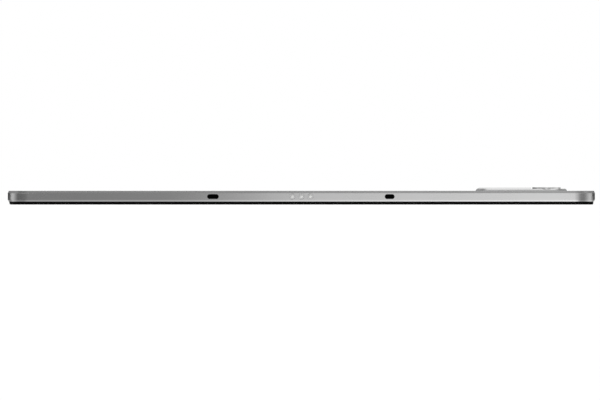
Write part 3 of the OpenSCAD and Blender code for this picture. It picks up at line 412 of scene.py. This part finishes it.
def rolled_stainless_steel(tree, place):
    """Cold-rolled stainless sheet. The eye sees a dull metal with fine lines along the rolling
    direction."""
    drawn = add(tree, "Mapping", {
        "Vector": place, "Scale": (per_metre(6), per_metre(0.15), per_metre(0.15)),
    })
    lines = add(tree, "TexNoise", {"Vector": drawn, "Scale": 1.0, "Detail": 2.0})
    colour = add(tree, "ValToRGB", {"Fac": lines}, ((0.3, "#A4A5A6"), (0.7, "#B4B5B5")))
    dull = add(tree, "MapRange", {"Value": lines, "To Min": 0.28, "To Max": 0.42})
    scored = add(tree, "Bump", {"Height": lines, "Distance": 0.004 * MM, "Strength": 0.4})
    return add(tree, "BsdfPrincipled", {
        "Base Color": colour, "Metallic": 1.0, "Roughness": dull, "Normal": scored,
    })


def filled_silicone_pad(tree, place):
    """Silicone rubber filled with ceramic, cast in sheets. The eye sees a chalky blue-grey pad."""
    filler = add(tree, "TexNoise", {"Vector": place, "Scale": per_metre(0.4), "Detail": 4.0})
    colour = add(tree, "ValToRGB", {"Fac": filler}, ((0.3, "#8FA0AC"), (0.7, "#A6B4BE")))
    chalky = add(tree, "Bump", {"Height": filler, "Distance": 0.03 * MM, "Strength": 0.5})
    return add(tree, "BsdfPrincipled", {
        "Base Color": colour, "Roughness": 0.8, "IOR": 1.43, "Normal": chalky,
    })


def rolled_graphite(tree, place):
    """Graphite film, rolled. The eye sees a dark, silky grey with flakes."""
    flakes = add(tree, "TexVoronoi", {"Vector": place, "Scale": per_metre(1.2)})
    colour = add(tree, "ValToRGB", {"Fac": flakes}, ((0.1, "#2A2B2D"), (0.8, "#3A3B3D")))
    silk = add(tree, "MapRange", {"Value": flakes, "To Min": 0.34, "To Max": 0.5})
    scales = add(tree, "Bump", {"Height": flakes, "Distance": 0.01 * MM})
    return add(tree, "BsdfPrincipled", {
        "Base Color": colour, "Metallic": 0.4, "Roughness": silk, "Normal": scales,
    })


def nickel_plated_brass(tree, place):
    """Brass, turned and plated with nickel. The eye sees a bright, barely warm metal with fine rubs."""
    rubs = add(tree, "TexNoise", {"Vector": place, "Scale": per_metre(0.3), "Detail": 4.0})
    colour = add(tree, "ValToRGB", {"Fac": rubs}, ((0.3, "#D8D8D7"), (0.7, "#E0E0DE")))
    shine = add(tree, "MapRange", {"Value": rubs, "To Min": 0.22, "To Max": 0.32})
    scuffs = add(tree, "Bump", {"Height": rubs, "Distance": 0.003 * MM, "Strength": 0.3})
    return add(tree, "BsdfPrincipled", {
        "Base Color": colour, "Metallic": 1.0, "Roughness": shine, "Normal": scuffs,
    })


def woven_polyester_mesh(tree, place):
    """Black polyester monofilament, plain-woven. The eye sees a dark cloth of square holes."""
    # Threads lie 0.15 mm apart, drawn three times as coarse so that they show.
    scale = per_metre(0.45) * WAVE_LENGTH
    warp = add(tree, "TexWave", {"Vector": place, "Scale": scale}, bands_direction="Y").outputs["Fac"]
    weft = add(tree, "TexWave", {"Vector": place, "Scale": scale}, bands_direction="Z").outputs["Fac"]
    cloth = add(tree, "Math", {0: warp, 1: weft}, operation="MAXIMUM")
    colour = add(tree, "ValToRGB", {"Fac": cloth}, ((0.45, "#030303"), (0.75, "#232426")))
    threads = add(tree, "Bump", {"Height": cloth, "Distance": 0.1 * MM, "Strength": 0.8})
    return add(tree, "BsdfPrincipled", {
        "Base Color": colour, "Roughness": 0.55, "IOR": 1.57, "Normal": threads,
    })


def acetal_resin(tree, place):
    """Acetal resin, moulded. The eye sees a waxy, slightly translucent white."""
    wax = add(tree, "TexNoise", {"Vector": place, "Scale": per_metre(0.5), "Detail": 2.0})
    colour = add(tree, "ValToRGB", {"Fac": wax}, ((0.3, "#E6E5E0"), (0.7, "#F0EFEB")))
    moulded = add(tree, "Bump", {"Height": wax, "Distance": 0.006 * MM, "Strength": 0.3})
    return add(tree, "BsdfPrincipled", {
        "Base Color": colour, "Roughness": 0.35, "IOR": 1.48, "Subsurface Weight": 0.1, "Normal": moulded,
    })


def gold_plated_copper(tree, place):
    """Copper, stamped and plated with gold. The eye sees a bright yellow metal with fine rubs."""
    rubs = add(tree, "TexNoise", {"Vector": place, "Scale": per_metre(0.2), "Detail": 3.0})
    colour = add(tree, "ValToRGB", {"Fac": rubs}, ((0.3, "#D9B25A"), (0.7, "#E6C471")))
    shine = add(tree, "MapRange", {"Value": rubs, "To Min": 0.2, "To Max": 0.3})
    return add(tree, "BsdfPrincipled", {"Base Color": colour, "Metallic": 1.0, "Roughness": shine})


def silicone_rubber(tree, place):
    """Silicone rubber, moulded. The eye sees a dull, dark red cord with a bloom of powder."""
    bloom_and_painted_sheen = add(tree, "TexNoise", {"Vector": place, "Scale": per_metre(0.5), "Detail": 3.0})
    colour = add(tree, "ValToRGB", {"Fac": bloom_and_painted_sheen}, ((0.3, "#5A1712"), (0.7, "#6B211A")))
    dull = add(tree, "MapRange", {"Value": bloom_and_painted_sheen, "To Min": 0.5, "To Max": 0.7})
    return add(tree, "BsdfPrincipled", {"Base Color": colour, "Roughness": dull, "IOR": 1.41})


def coated_optical_glass(tree, place):
    """Optical glass, ground, polished and coated. The eye sees a dark dome with violet and green
    glints, which are painted into its colour by the angle to the eye."""
    # Painted reflection: the colour turns violet and then green as the dome turns away from the eye.
    bloom_and_painted_sheen = add(tree, "LayerWeight", {"Blend": 0.35}).outputs["Facing"]
    colour = add(tree, "ValToRGB", {"Fac": bloom_and_painted_sheen}, ((0.1, "#0A0B12"), (0.55, "#1A1430"), (0.9, "#123028")))
    return add(tree, "BsdfPrincipled", {
        "Base Color": colour, "Roughness": 0.03, "IOR": 1.6, "Thin Film Thickness": 420.0,
        "Thin Film IOR": 1.38,
    })


recipes = {
    "anodised_aluminium": bead_blasted_aluminium,
    "bright_aluminium": polished_aluminium,
    "polished_metal": turned_steel,
    "cover_glass": printed_cover_glass,
    "lens_glass": coated_lens_window,
    "flash_plastic": frosted_polycarbonate,
    "led_phosphor": phosphor_silicone,
    "radio_plastic": glass_filled_nylon,
    "black_plastic": black_moulded_plastic,
    "camera_black": blackened_magnesium,
    "adhesive": acrylic_foam_tape,
    "polyimide": polyimide_circuit,
    "display_glass": liquid_crystal_glass,
    "light_guide": printed_acrylic,
    "battery_foil": laminate_pouch,
    "circuit_board": solder_masked_board,
    "chip_resin": epoxy_moulding_compound,
    "plain_steel": rolled_stainless_steel,
    "thermal_rubber": filled_silicone_pad,
    "graphite": rolled_graphite,
    "contact_plating": nickel_plated_brass,
    "dust_mesh": woven_polyester_mesh,
    "white_resin": acetal_resin,
}
finishes = {slot: made(recipe) for slot, recipe in recipes.items()}

for subpart in frame["record"]["subparts"]:
    node = node_of[subpart["node"]]
    node.data.materials.clear()
    node.data.materials.append(finishes[subpart["material_slot"]])
node_of["contact_base"].data.materials[0] = made(mineral_filled_nylon)


# Pieces made here, with their own lengths in millimetres

def piece(name, mesh, material, body, smooth=True):
    """Puts a new mesh into the scene as a piece that rides on a body."""
    obj = bpy.data.objects.new(name, mesh)
    scene.collection.objects.link(obj)
    mesh.materials.append(material)
    for face in mesh.polygons:
        face.use_smooth = smooth
    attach(obj, body)
    return obj


def closed_mesh(name, shape):
    """The mesh of a finished shape, with its faces turned outwards."""
    bmesh.ops.recalc_face_normals(shape, faces=shape.faces)
    mesh = bpy.data.meshes.new(name)
    shape.to_mesh(mesh)
    shape.free()
    return mesh


def turned(name, centre, profile, steps=96, hollow=False):
    """A mesh turned about the vertical through centre from (radius, height) points in millimetres.

    A hollow one is a ring, whose last point joins the first.
    """
    shape = bmesh.new()
    rings = []
    for radius, height in profile:
        spokes = steps if radius else 1
        rings.append([
            shape.verts.new((
                centre.x + radius * MM * math.cos(2 * math.pi * i / steps),
                centre.y + radius * MM * math.sin(2 * math.pi * i / steps),
                height * MM,
            ))
            for i in range(spokes)
        ])
    if hollow:
        rings.append(rings[0])
    for lower, upper in zip(rings, rings[1:]):
        for i in range(steps):
            j = (i + 1) % steps
            corners = (
                lower[i % len(lower)], lower[j % len(lower)],
                upper[j % len(upper)], upper[i % len(upper)],
            )
            shape.faces.new(list(dict.fromkeys(corners)))
    return closed_mesh(name, shape)


# Front element of the lens, in the barrel's dish
barrel_lo, barrel_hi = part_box("lens_barrel")
barrel_mid = (barrel_lo + barrel_hi) / 2
barrel_top = barrel_hi.z / MM
DISH_DEPTH = 0.5
DISH_FLOOR_R = 1.5
DISH_TOP_R = 2.3
ELEMENT_R = 1.45
ELEMENT_EDGE = 0.06
ELEMENT_RISE = 0.3
ELEMENT_STEP = 10
dish_floor = barrel_top - DISH_DEPTH
dome = [(0, dish_floor), (ELEMENT_R, dish_floor), (ELEMENT_R, dish_floor + ELEMENT_EDGE)]
dome += [
    (ELEMENT_R * math.cos(a), dish_floor + ELEMENT_EDGE + ELEMENT_RISE * math.sin(a))
    for a in [math.radians(k) for k in range(ELEMENT_STEP, 90, ELEMENT_STEP)]
]
dome += [(0, dish_floor + ELEMENT_EDGE + ELEMENT_RISE)]
piece(
    "lens_front_element", turned("lens_front_element", barrel_mid, dome), made(coated_optical_glass),
    "lens",
)

# Ribs up the dish round the element, which keep stray light out of the lens
RIBS = 5
RIB_DEPTH = 0.07
STOP_R = 1.55
STOP_RIM_R = DISH_TOP_R + 0.25
ribs = []
for k in range(RIBS + 1):
    rib_r = STOP_R + (DISH_TOP_R - STOP_R) * k / RIBS
    rib_z = dish_floor + DISH_DEPTH * (rib_r - DISH_FLOOR_R) / (DISH_TOP_R - DISH_FLOOR_R)
    ribs += [(rib_r, rib_z), (rib_r, rib_z + RIB_DEPTH)]
ribs += [(STOP_RIM_R, barrel_top + RIB_DEPTH), (STOP_RIM_R, barrel_top)]
piece(
    "lens_stop", turned("lens_stop", barrel_mid, ribs, hollow=True), finishes["camera_black"],
    "lens", smooth=False,
)

# Black mask printed on the inner face of the lens window, with a clear round opening
window_lo, window_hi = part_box("lens_window")
window_mid = (window_lo + window_hi) / 2
MASK_T = 0.03
MASK_CLEAR = 0.01
MASK_HOLE_R = 2.9
MASK_SLOPE = 0.02
MASK_BORDER = 1.0
mask_r = (window_hi.x - window_lo.x) / 2 / MM - MASK_BORDER
mask_z = window_lo.z / MM - MASK_CLEAR
mask = [
    (MASK_HOLE_R, mask_z), (MASK_HOLE_R + MASK_SLOPE, mask_z - MASK_T),
    (mask_r, mask_z - MASK_T), (mask_r, mask_z),
]
piece(
    "lens_window_mask", turned("lens_window_mask", window_mid, mask, hollow=True), finishes["camera_black"],
    "tablet", smooth=False,
)

# Flash diffuser with moulded rings on its face, in place of the plain disc
flash_lo, flash_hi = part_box("flash_lens")
flash_mid = (flash_lo + flash_hi) / 2
flash_r = (flash_hi.x - flash_lo.x) / 2 / MM
FLASH_EDGE = 0.08
RIDGE_BORDER = 0.3
RIDGE_PITCH = 0.4
RIDGE_DEPTH = 0.1
RIDGE_SLOPE = 0.05
MIDDLE_DEPTH = RIDGE_DEPTH / 3
flash_base = flash_lo.z / MM
flash_top = flash_hi.z / MM
rings = [(0, flash_base), (flash_r, flash_base)]
rings += [(flash_r, flash_top - FLASH_EDGE), (flash_r - FLASH_EDGE, flash_top)]
ridge_r = flash_r - RIDGE_BORDER
while ridge_r > RIDGE_PITCH:
    rings += [(ridge_r, flash_top), (ridge_r - RIDGE_SLOPE, flash_top - RIDGE_DEPTH)]
    ridge_r -= RIDGE_PITCH
rings += [(0, flash_top - MIDDLE_DEPTH)]
flash = piece(
    "flash_diffuser", turned("flash_diffuser", flash_mid, rings), finishes["flash_plastic"],
    "tablet", smooth=False,
)
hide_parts("flash_lens")

# Gold contacts on both faces of the charging port's tongue, with raked tips
tongue_lo, tongue_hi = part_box("usb_c_tongue")
tongue_mid = (tongue_lo + tongue_hi) / 2
TONGUE_T = 0.7
PADS = 12
PAD_PITCH = 0.5
PAD_W = 0.26
PAD_L = 3.2
PAD_T = 0.03
PAD_SINK = 0.01
PAD_START = 0.55
POWER_PADS = (0, 3, 8, 11)
POWER_PAD_START = 0.3
# From a pad's raked tip to its end: how far along in mm, up or not, and the share of its width
PAD_PROFILE = ((0, 0, 0.8), (0.06, 1, 0.8), (0.12, 1, 1), (PAD_L, 1, 1), (PAD_L, 0, 1))
pad_shape = bmesh.new()
for face in (-1, 1):
    skin = tongue_mid.z + face * (TONGUE_T / 2 - PAD_SINK) * MM
    for k in range(PADS):
        pad_y = tongue_mid.y + (k - (PADS - 1) / 2) * PAD_PITCH * MM
        pad_x = tongue_lo.x + (POWER_PAD_START if k in POWER_PADS else PAD_START) * MM
        rows = []
        for along, lift, width in PAD_PROFILE:
            spot_x = pad_x + along * MM
            spot_z = skin + face * lift * PAD_T * MM
            rows.append([
                pad_shape.verts.new((spot_x, pad_y + side * width * PAD_W / 2 * MM, spot_z))
                for side in (-1, 1)
            ])
        for row, following in zip(rows, rows[1:] + rows[:1]):
            pad_shape.faces.new((row[0], row[1], following[1], following[0]))
        for side in (0, 1):
            pad_shape.faces.new([row[side] for row in rows])
piece(
    "port_contacts", closed_mesh("port_contacts", pad_shape), made(gold_plated_copper),
    "tablet", smooth=False,
)

# Rubber seal in a groove round the card tray's door
tray_lo, tray_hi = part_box("card_tray")
tray_mid = (tray_lo + tray_hi) / 2
SEAL_DEPTH = 0.95
SEAL_R = 0.16
SEAL_PROUD = 0.05
TUBE_STEPS = 10
END_STEPS = 16
end_r = (tray_hi.z - tray_lo.z) / 2 + (SEAL_PROUD - SEAL_R) * MM
end_y = (tray_hi.y - tray_lo.y) / 2 + (SEAL_PROUD - SEAL_R) * MM - end_r
seal_shape = bmesh.new()
loops = []
for side, first in ((1, -90), (-1, 90)):
    for k in range(END_STEPS + 1):
        a = math.radians(first + 180 * k / END_STEPS)
        loop = []
        for n in range(TUBE_STEPS):
            b = 2 * math.pi * n / TUBE_STEPS
            reach = end_r + SEAL_R * MM * math.cos(b)
            loop.append(seal_shape.verts.new((
                tray_lo.x + (SEAL_DEPTH + SEAL_R * math.sin(b)) * MM,
                tray_mid.y + side * end_y + math.cos(a) * reach,
                tray_mid.z + math.sin(a) * reach,
            )))
        loops.append(loop)
for loop, following in zip(loops, loops[1:] + loops[:1]):
    for n in range(TUBE_STEPS):
        m = (n + 1) % TUBE_STEPS
        seal_shape.faces.new((loop[n], loop[m], following[m], following[n]))
piece("tray_seal", closed_mesh("tray_seal", seal_shape), made(silicone_rubber), "tray")


# Studio

def smooth_step(low, high, value):
    """0 below low, 1 above high, and a soft S between them."""
    t = min(max((value - low) / (high - low), 0.0), 1.0)
    return t * t * (3 - 2 * t)


# Directions round the tablet, in degrees from the docking edge, where dark flags stand in the studio.
# Each flag is faint at its outer two angles and full between its inner two.
LEFT_FLAG = (2, 20, 55, 104)
RIGHT_FLAG = (0, 34, 52, 98)
SIDE_FLAG = (100, 125, 165, 178)
RIGHT_SIDE_FLAG = (110, 142, 165, 178)
SIDE_FLAG_LEVEL = 0.06


def behind(flag, degrees):
    """1 in the middle of a flag in a direction round the tablet, 0 beside it."""
    start_a, full_a, full_b, end_b = flag
    return smooth_step(start_a, full_a, degrees) * (1 - smooth_step(full_b, end_b, degrees))


# Floor, plain white, with the tablet's shadow
FLOOR_HALF = 30.0
FLOOR_LIFT = 0.28


def white_floor(tree, place):
    """Matt white paint, lifted to white where the eye sees it, also in metal and through glass."""
    rays = add(tree, "LightPath").outputs
    seen = add(tree, "Math", {0: rays["Is Camera Ray"], 1: rays["Is Glossy Ray"]}, operation="MAXIMUM")
    seen = add(tree, "Math", {0: seen, 1: rays["Is Transmission Ray"]}, operation="MAXIMUM")
    lift = add(tree, "Math", {0: seen, 1: FLOOR_LIFT}, operation="MULTIPLY")
    paint = add(tree, "BsdfDiffuse", {"Color": linear("#E9E9E9")})
    shine = add(tree, "Emission", {"Color": linear("#FFFFFF"), "Strength": lift})
    return add(tree, "AddShader", {0: paint, 1: shine})


floor_mesh = bpy.data.meshes.new("floor")
floor_mesh.from_pydata(
    [(x * FLOOR_HALF, y * FLOOR_HALF, 0) for x, y in ((-1, -1), (1, -1), (1, 1), (-1, 1))],
    [], [(0, 1, 2, 3)],
)
floor_mesh.materials.append(made(white_floor))
floor = bpy.data.objects.new("floor", floor_mesh)
scene.collection.objects.link(floor)

# Graded card round the docking edge, which shows only in reflections: dark on the left, white on the right.
# It lies on the floor, black under the glass as painted shade where the tablet shades the floor, and curves
# up in front.
CARD_UNDER = 2.5 * MM
CARD_FLAT = 21 * MM
CARD_RISE = 34 * MM
CARD_TOP = 75 * MM
CARD_LIFT = 0.05 * MM
CARD_SIDE = 12 * MM
corner_r = 10 * MM
corner_x = housing_hi.x - corner_r
corner_y = housing_lo.y + corner_r

# Its levels at the tablet's middle, and what they gain with each millimetre to the right
DIM = (0.504, 0.0012)
BRIGHT = (0.93, 0.0022)
UPPER = (0.43, 0.0008)
# Places along the edge, in mm, between which dim turns to bright
GRADE_ENDS = (-70, 5)
# Slopes up from the tablet between which the card turns to its upper level
UPPER_ENDS = (0.6, 0.9)
# The strip next to the tablet, which ends between these distances in mm, with its own level and spread
STRIP_ENDS = (3, 12)
STRIP_DIM = 0.12
STRIP_SPREAD = 1.59
STRIP_SIDE_FLAG = 0.24
# Directions round a corner between which the front turns to a bright band
BAND_ENDS = (35, 80)
BAND_LEVEL = 1.0
# For each corner: the front flag's level and what it gains on the strip, what the bright band loses there,
# and the two flags
LEFT_CORNER = (0.18, 0.13, 0.32, LEFT_FLAG, SIDE_FLAG)
RIGHT_CORNER = (0.29, 0.08, 0.15, RIGHT_FLAG, RIGHT_SIDE_FLAG)
# The black under the glass is painted shade of the tablet on the floor. It ends this far out in mm, sooner
# on the dark side, with a soft edge.
PAINTED_SHADE_END = 0.1
PAINTED_SHADE_SOONER = 0.4
PAINTED_SHADE_EDGE = 0.5


def graded(level, x_mm):
    """One of the card's levels at a place along the edge."""
    middle, gain = level
    return middle + gain * x_mm


def card_level(x, y, out, up):
    """Brightness of the card at a place that lies some way out from the tablet's side, and some way up."""
    x_mm = x / MM
    reach = max(out, 0.0)
    grade = smooth_step(*GRADE_ENDS, x_mm)
    # The chamfer along the display looks down at the strip of card next to it.
    strip = 1 - smooth_step(*STRIP_ENDS, reach / MM)
    dim = graded(DIM, x_mm) + STRIP_DIM * strip
    front = dim + (graded(BRIGHT, x_mm) - dim) * grade
    front += (graded(UPPER, x_mm) - front) * smooth_step(*UPPER_ENDS, up / max(out, MM))
    # A round corner throws its light further round than the place that it leaves from.
    turn = math.degrees(math.atan2(max(abs(x) - corner_x, 0.0), corner_y - y))
    spread = 2 * (corner_r + reach) / (corner_r + 2 * reach)
    turn = min(turn * (spread + (STRIP_SPREAD - spread) * strip), 180)
    flag_level, flag_gain, band_loss, front_flag, side_flag = LEFT_CORNER if x < 0 else RIGHT_CORNER
    band_level = BAND_LEVEL - band_loss * strip
    level = front + (band_level - front) * smooth_step(*BAND_ENDS, turn)
    level += (flag_level + flag_gain * strip - level) * behind(front_flag, turn)
    level += (SIDE_FLAG_LEVEL + STRIP_SIDE_FLAG * strip - level) * behind(side_flag, turn)
    # Painted shade: the card is black under the glass and just beyond it, where the tablet shades the
    # floor.
    black = PAINTED_SHADE_END - PAINTED_SHADE_SOONER * (1 - grade)
    return level * smooth_step(black, black + PAINTED_SHADE_EDGE, out / MM)


# The card's outline follows the tablet: places on its side, and the direction out from there.
SIDE_STEPS = 4
CORNER_STEP = 3
EDGE_STEPS = 100
outline = []
for k in range(SIDE_STEPS, 0, -1):
    outline.append((-corner_x - corner_r, corner_y + CARD_SIDE * k / SIDE_STEPS, -90))
for k in range(-90, 0, CORNER_STEP):
    outline.append((-corner_x, corner_y, k))
for k in range(EDGE_STEPS + 1):
    outline.append((corner_x * (2 * k / EDGE_STEPS - 1), corner_y, 0))
for k in range(CORNER_STEP, 91, CORNER_STEP):
    outline.append((corner_x, corner_y, k))
for k in range(1, SIDE_STEPS + 1):
    outline.append((corner_x + corner_r, corner_y + CARD_SIDE * k / SIDE_STEPS, 90))

# Its section, from under the glass out along the floor, round the bend and up
FLAT_ROWS = (0.1, 0.3, 0.6, 1.2, 2, 3, 4.5, 7, 10, 14)
BEND_STEP = 10
TOP_STEPS = 6
section = [(-CARD_UNDER, 0.0)]
section += [(out * MM, 0.0) for out in FLAT_ROWS]
section += [(CARD_FLAT, 0.0)]
section += [
    (CARD_FLAT + CARD_RISE * math.sin(a), CARD_RISE * (1 - math.cos(a)))
    for a in [math.radians(k) for k in range(BEND_STEP, 91, BEND_STEP)]
]
section += [
    (CARD_FLAT + CARD_RISE, CARD_RISE + (CARD_TOP - CARD_RISE) * k / TOP_STEPS)
    for k in range(1, TOP_STEPS + 1)
]

# Past these directions the card no longer rises.
RISE_ENDS = (65, 90)
card_verts = []
card_levels = []
for x, y, degrees in outline:
    a = math.radians(degrees)
    rise = 1 - smooth_step(*RISE_ENDS, abs(degrees))
    inner = 0.0 if abs(x) > corner_x + corner_r / 2 else corner_r
    for out, up in section:
        spot_x = x + (inner + out) * math.sin(a)
        spot_y = y - (inner + out) * math.cos(a)
        card_verts.append((spot_x, spot_y, CARD_LIFT + up * rise))
        card_levels.append(card_level(spot_x, spot_y, out, up))

# Through a gap between these heights at each corner the back looks into the room.
GAP_LOW = 12 * MM
GAP_HIGH = 34.1 * MM
across = len(section)
card_faces = []
for i in range(len(outline) - 1):
    corner = outline[i][2] or outline[i + 1][2]
    for j in range(across - 1):
        gap = corner and GAP_LOW < section[j][1] and section[j + 1][1] < GAP_HIGH
        if not gap:
            this_row = i * across + j
            next_row = this_row + across
            card_faces.append((this_row, next_row, next_row + 1, this_row + 1))

# A dark board stands on edge beside each corner.
BOARD_BACK = 30 * MM
BOARD_NEAR = 8 * MM
BOARD_FAR = 66 * MM
BOARD_TOP = 6.5 * MM
for side in (-1, 1):
    board = len(card_verts)
    for out, up in ((BOARD_NEAR, 0), (BOARD_FAR, 0), (BOARD_FAR, BOARD_TOP), (BOARD_NEAR, BOARD_TOP)):
        card_verts.append((side * (corner_x + corner_r + out), corner_y + BOARD_BACK, up))
        card_levels.append(SIDE_FLAG_LEVEL)
    card_faces.append((board, board + 1, board + 2, board + 3))

# Only the sides, which are nearer to the card than this, see it. The back looks through it into the room.
SIGHT_FULL = 85 * MM
SIGHT_END = 95 * MM


def graded_card(tree, place):
    """Card that shines at the level of each of its points, and is clear from far off."""
    level = add(tree, "Attribute", attribute_name="level").outputs["Fac"]
    light = add(tree, "Emission", {"Strength": level})
    clear = add(tree, "BsdfTransparent")
    length = add(tree, "LightPath").outputs["Ray Length"]
    far = add(tree, "MapRange", {"Value": length, "From Min": SIGHT_FULL, "From Max": SIGHT_END})
    return add(tree, "MixShader", {0: far, 1: light, 2: clear})


card_mesh = bpy.data.meshes.new("graded_card")
card_mesh.from_pydata(card_verts, [], card_faces)
levels = card_mesh.attributes.new("level", "FLOAT", "POINT")
levels.data.foreach_set("value", card_levels)
card_paint = made(graded_card)
card_paint.cycles.emission_sampling = "NONE"
card_mesh.materials.append(card_paint)
card = bpy.data.objects.new("graded_card", card_mesh)
scene.collection.objects.link(card)
card.visible_camera = False
card.visible_diffuse = False
card.visible_transmission = False
card.visible_volume_scatter = False
card.visible_shadow = False

# Wide soft lamp overhead, a little behind the tablet, as even as a lit ceiling
LAMP_STRENGTH = 0.5
LAMP_SPREAD = 80
LAMP_TILT = -15
lamp_data = bpy.data.lights.new("soft_ceiling", "SUN")
lamp_data.energy = LAMP_STRENGTH
lamp_data.angle = math.radians(LAMP_SPREAD)
lamp = bpy.data.objects.new("soft_ceiling", lamp_data)
lamp.rotation_euler = (math.radians(LAMP_TILT), 0, 0)
lamp.visible_camera = False
lamp.visible_glossy = False
scene.collection.objects.link(lamp)

# White room, with the flags low round the tablet, grey walls at the sides and grey eaves above
FLAG_LEVEL = 0.38
SIDE_WALLS = (45, 70, 150, 172)
SIDE_LEVEL = 0.42
EAVES_FRONT = 0.635
EAVES_SIDE = 0.40
EAVES_BACK = 1.2
CEILING = 1.3
# Directions in which the eaves turn from front to side, and from side to back
FRONT_ENDS = (45.0, 65.0)
BACK_STARTS = (115.0, 165.0)
# Heights, as sines of the slope up, at which each part of the room turns to the next
HORIZON = (-0.01, 0.0)
WALLS_START = (0.12, 0.30)
EAVES_START = (0.46, 0.62)
CEILING_START = (0.85, 0.97)
world = bpy.data.worlds.new("white_room")
scene.world = world
world.use_nodes = True
tree = world.node_tree
tree.nodes.clear()
aim = add(tree, "TexCoord").outputs["Generated"]
level_aim = add(tree, "VectorMath", {0: aim, 1: (1.0, 1.0, 0.0)}, operation="MULTIPLY")
flat_aim = add(tree, "VectorMath", {0: level_aim}, operation="NORMALIZE")
ahead = add(tree, "SeparateXYZ", {"Vector": flat_aim}).outputs["Y"]
height = add(tree, "SeparateXYZ", {"Vector": aim}).outputs["Z"]
turn = add(tree, "Math", {0: ahead}, operation="ARCCOSINE")
around = add(tree, "MapRange", {"Value": turn, "From Max": math.pi, "To Min": 180.0, "To Max": 0.0})
belts = []
flags = ((LEFT_FLAG, FLAG_LEVEL), (SIDE_FLAG, SIDE_FLAG_LEVEL))
for spans in (flags, ((SIDE_WALLS, SIDE_LEVEL),)):
    belt = 1.0
    for (start_a, full_a, full_b, end_b), dark in spans:
        begun = add(tree, "MapRange", {
            "Value": around, "From Min": start_a, "From Max": full_a,
        }, interpolation_type="SMOOTHSTEP")
        left_over = add(tree, "MapRange", {
            "Value": around, "From Min": full_b, "From Max": end_b, "To Min": 1.0, "To Max": 0.0,
        }, interpolation_type="SMOOTHSTEP")
        inside = add(tree, "Math", {0: begun, 1: left_over}, operation="MULTIPLY")
        belt = add(tree, "Math", {0: inside, 1: dark - 1, 2: belt}, operation="MULTIPLY_ADD")
    belts.append(belt)
low_flags, walls = belts
beside = add(tree, "MapRange", {
    "Value": around, "From Min": FRONT_ENDS[0], "From Max": FRONT_ENDS[1],
}, interpolation_type="SMOOTHSTEP")
side_eaves = add(tree, "MapRange", {
    "Value": around, "From Min": BACK_STARTS[0], "From Max": BACK_STARTS[1],
    "To Min": EAVES_SIDE, "To Max": EAVES_BACK,
}, interpolation_type="SMOOTHSTEP")
eaves = add(tree, "Mix", {"Factor": beside, "A": EAVES_FRONT, "B": side_eaves}, data_type="FLOAT")
# Every kind of ray sees the same room, which is plain white behind the tablet and below the horizon.
room = 1.0
for (low, high), above in (
    (HORIZON, low_flags), (WALLS_START, walls), (EAVES_START, eaves), (CEILING_START, CEILING),
):
    risen = add(tree, "MapRange", {
        "Value": height, "From Min": low, "From Max": high,
    }, interpolation_type="SMOOTHSTEP")
    room = add(tree, "Mix", {"Factor": risen, "A": room, "B": above}, data_type="FLOAT")
white = add(tree, "Background", {"Color": linear("#FFFFFF"), "Strength": room})
add(tree, "OutputWorld", {"Surface": white})
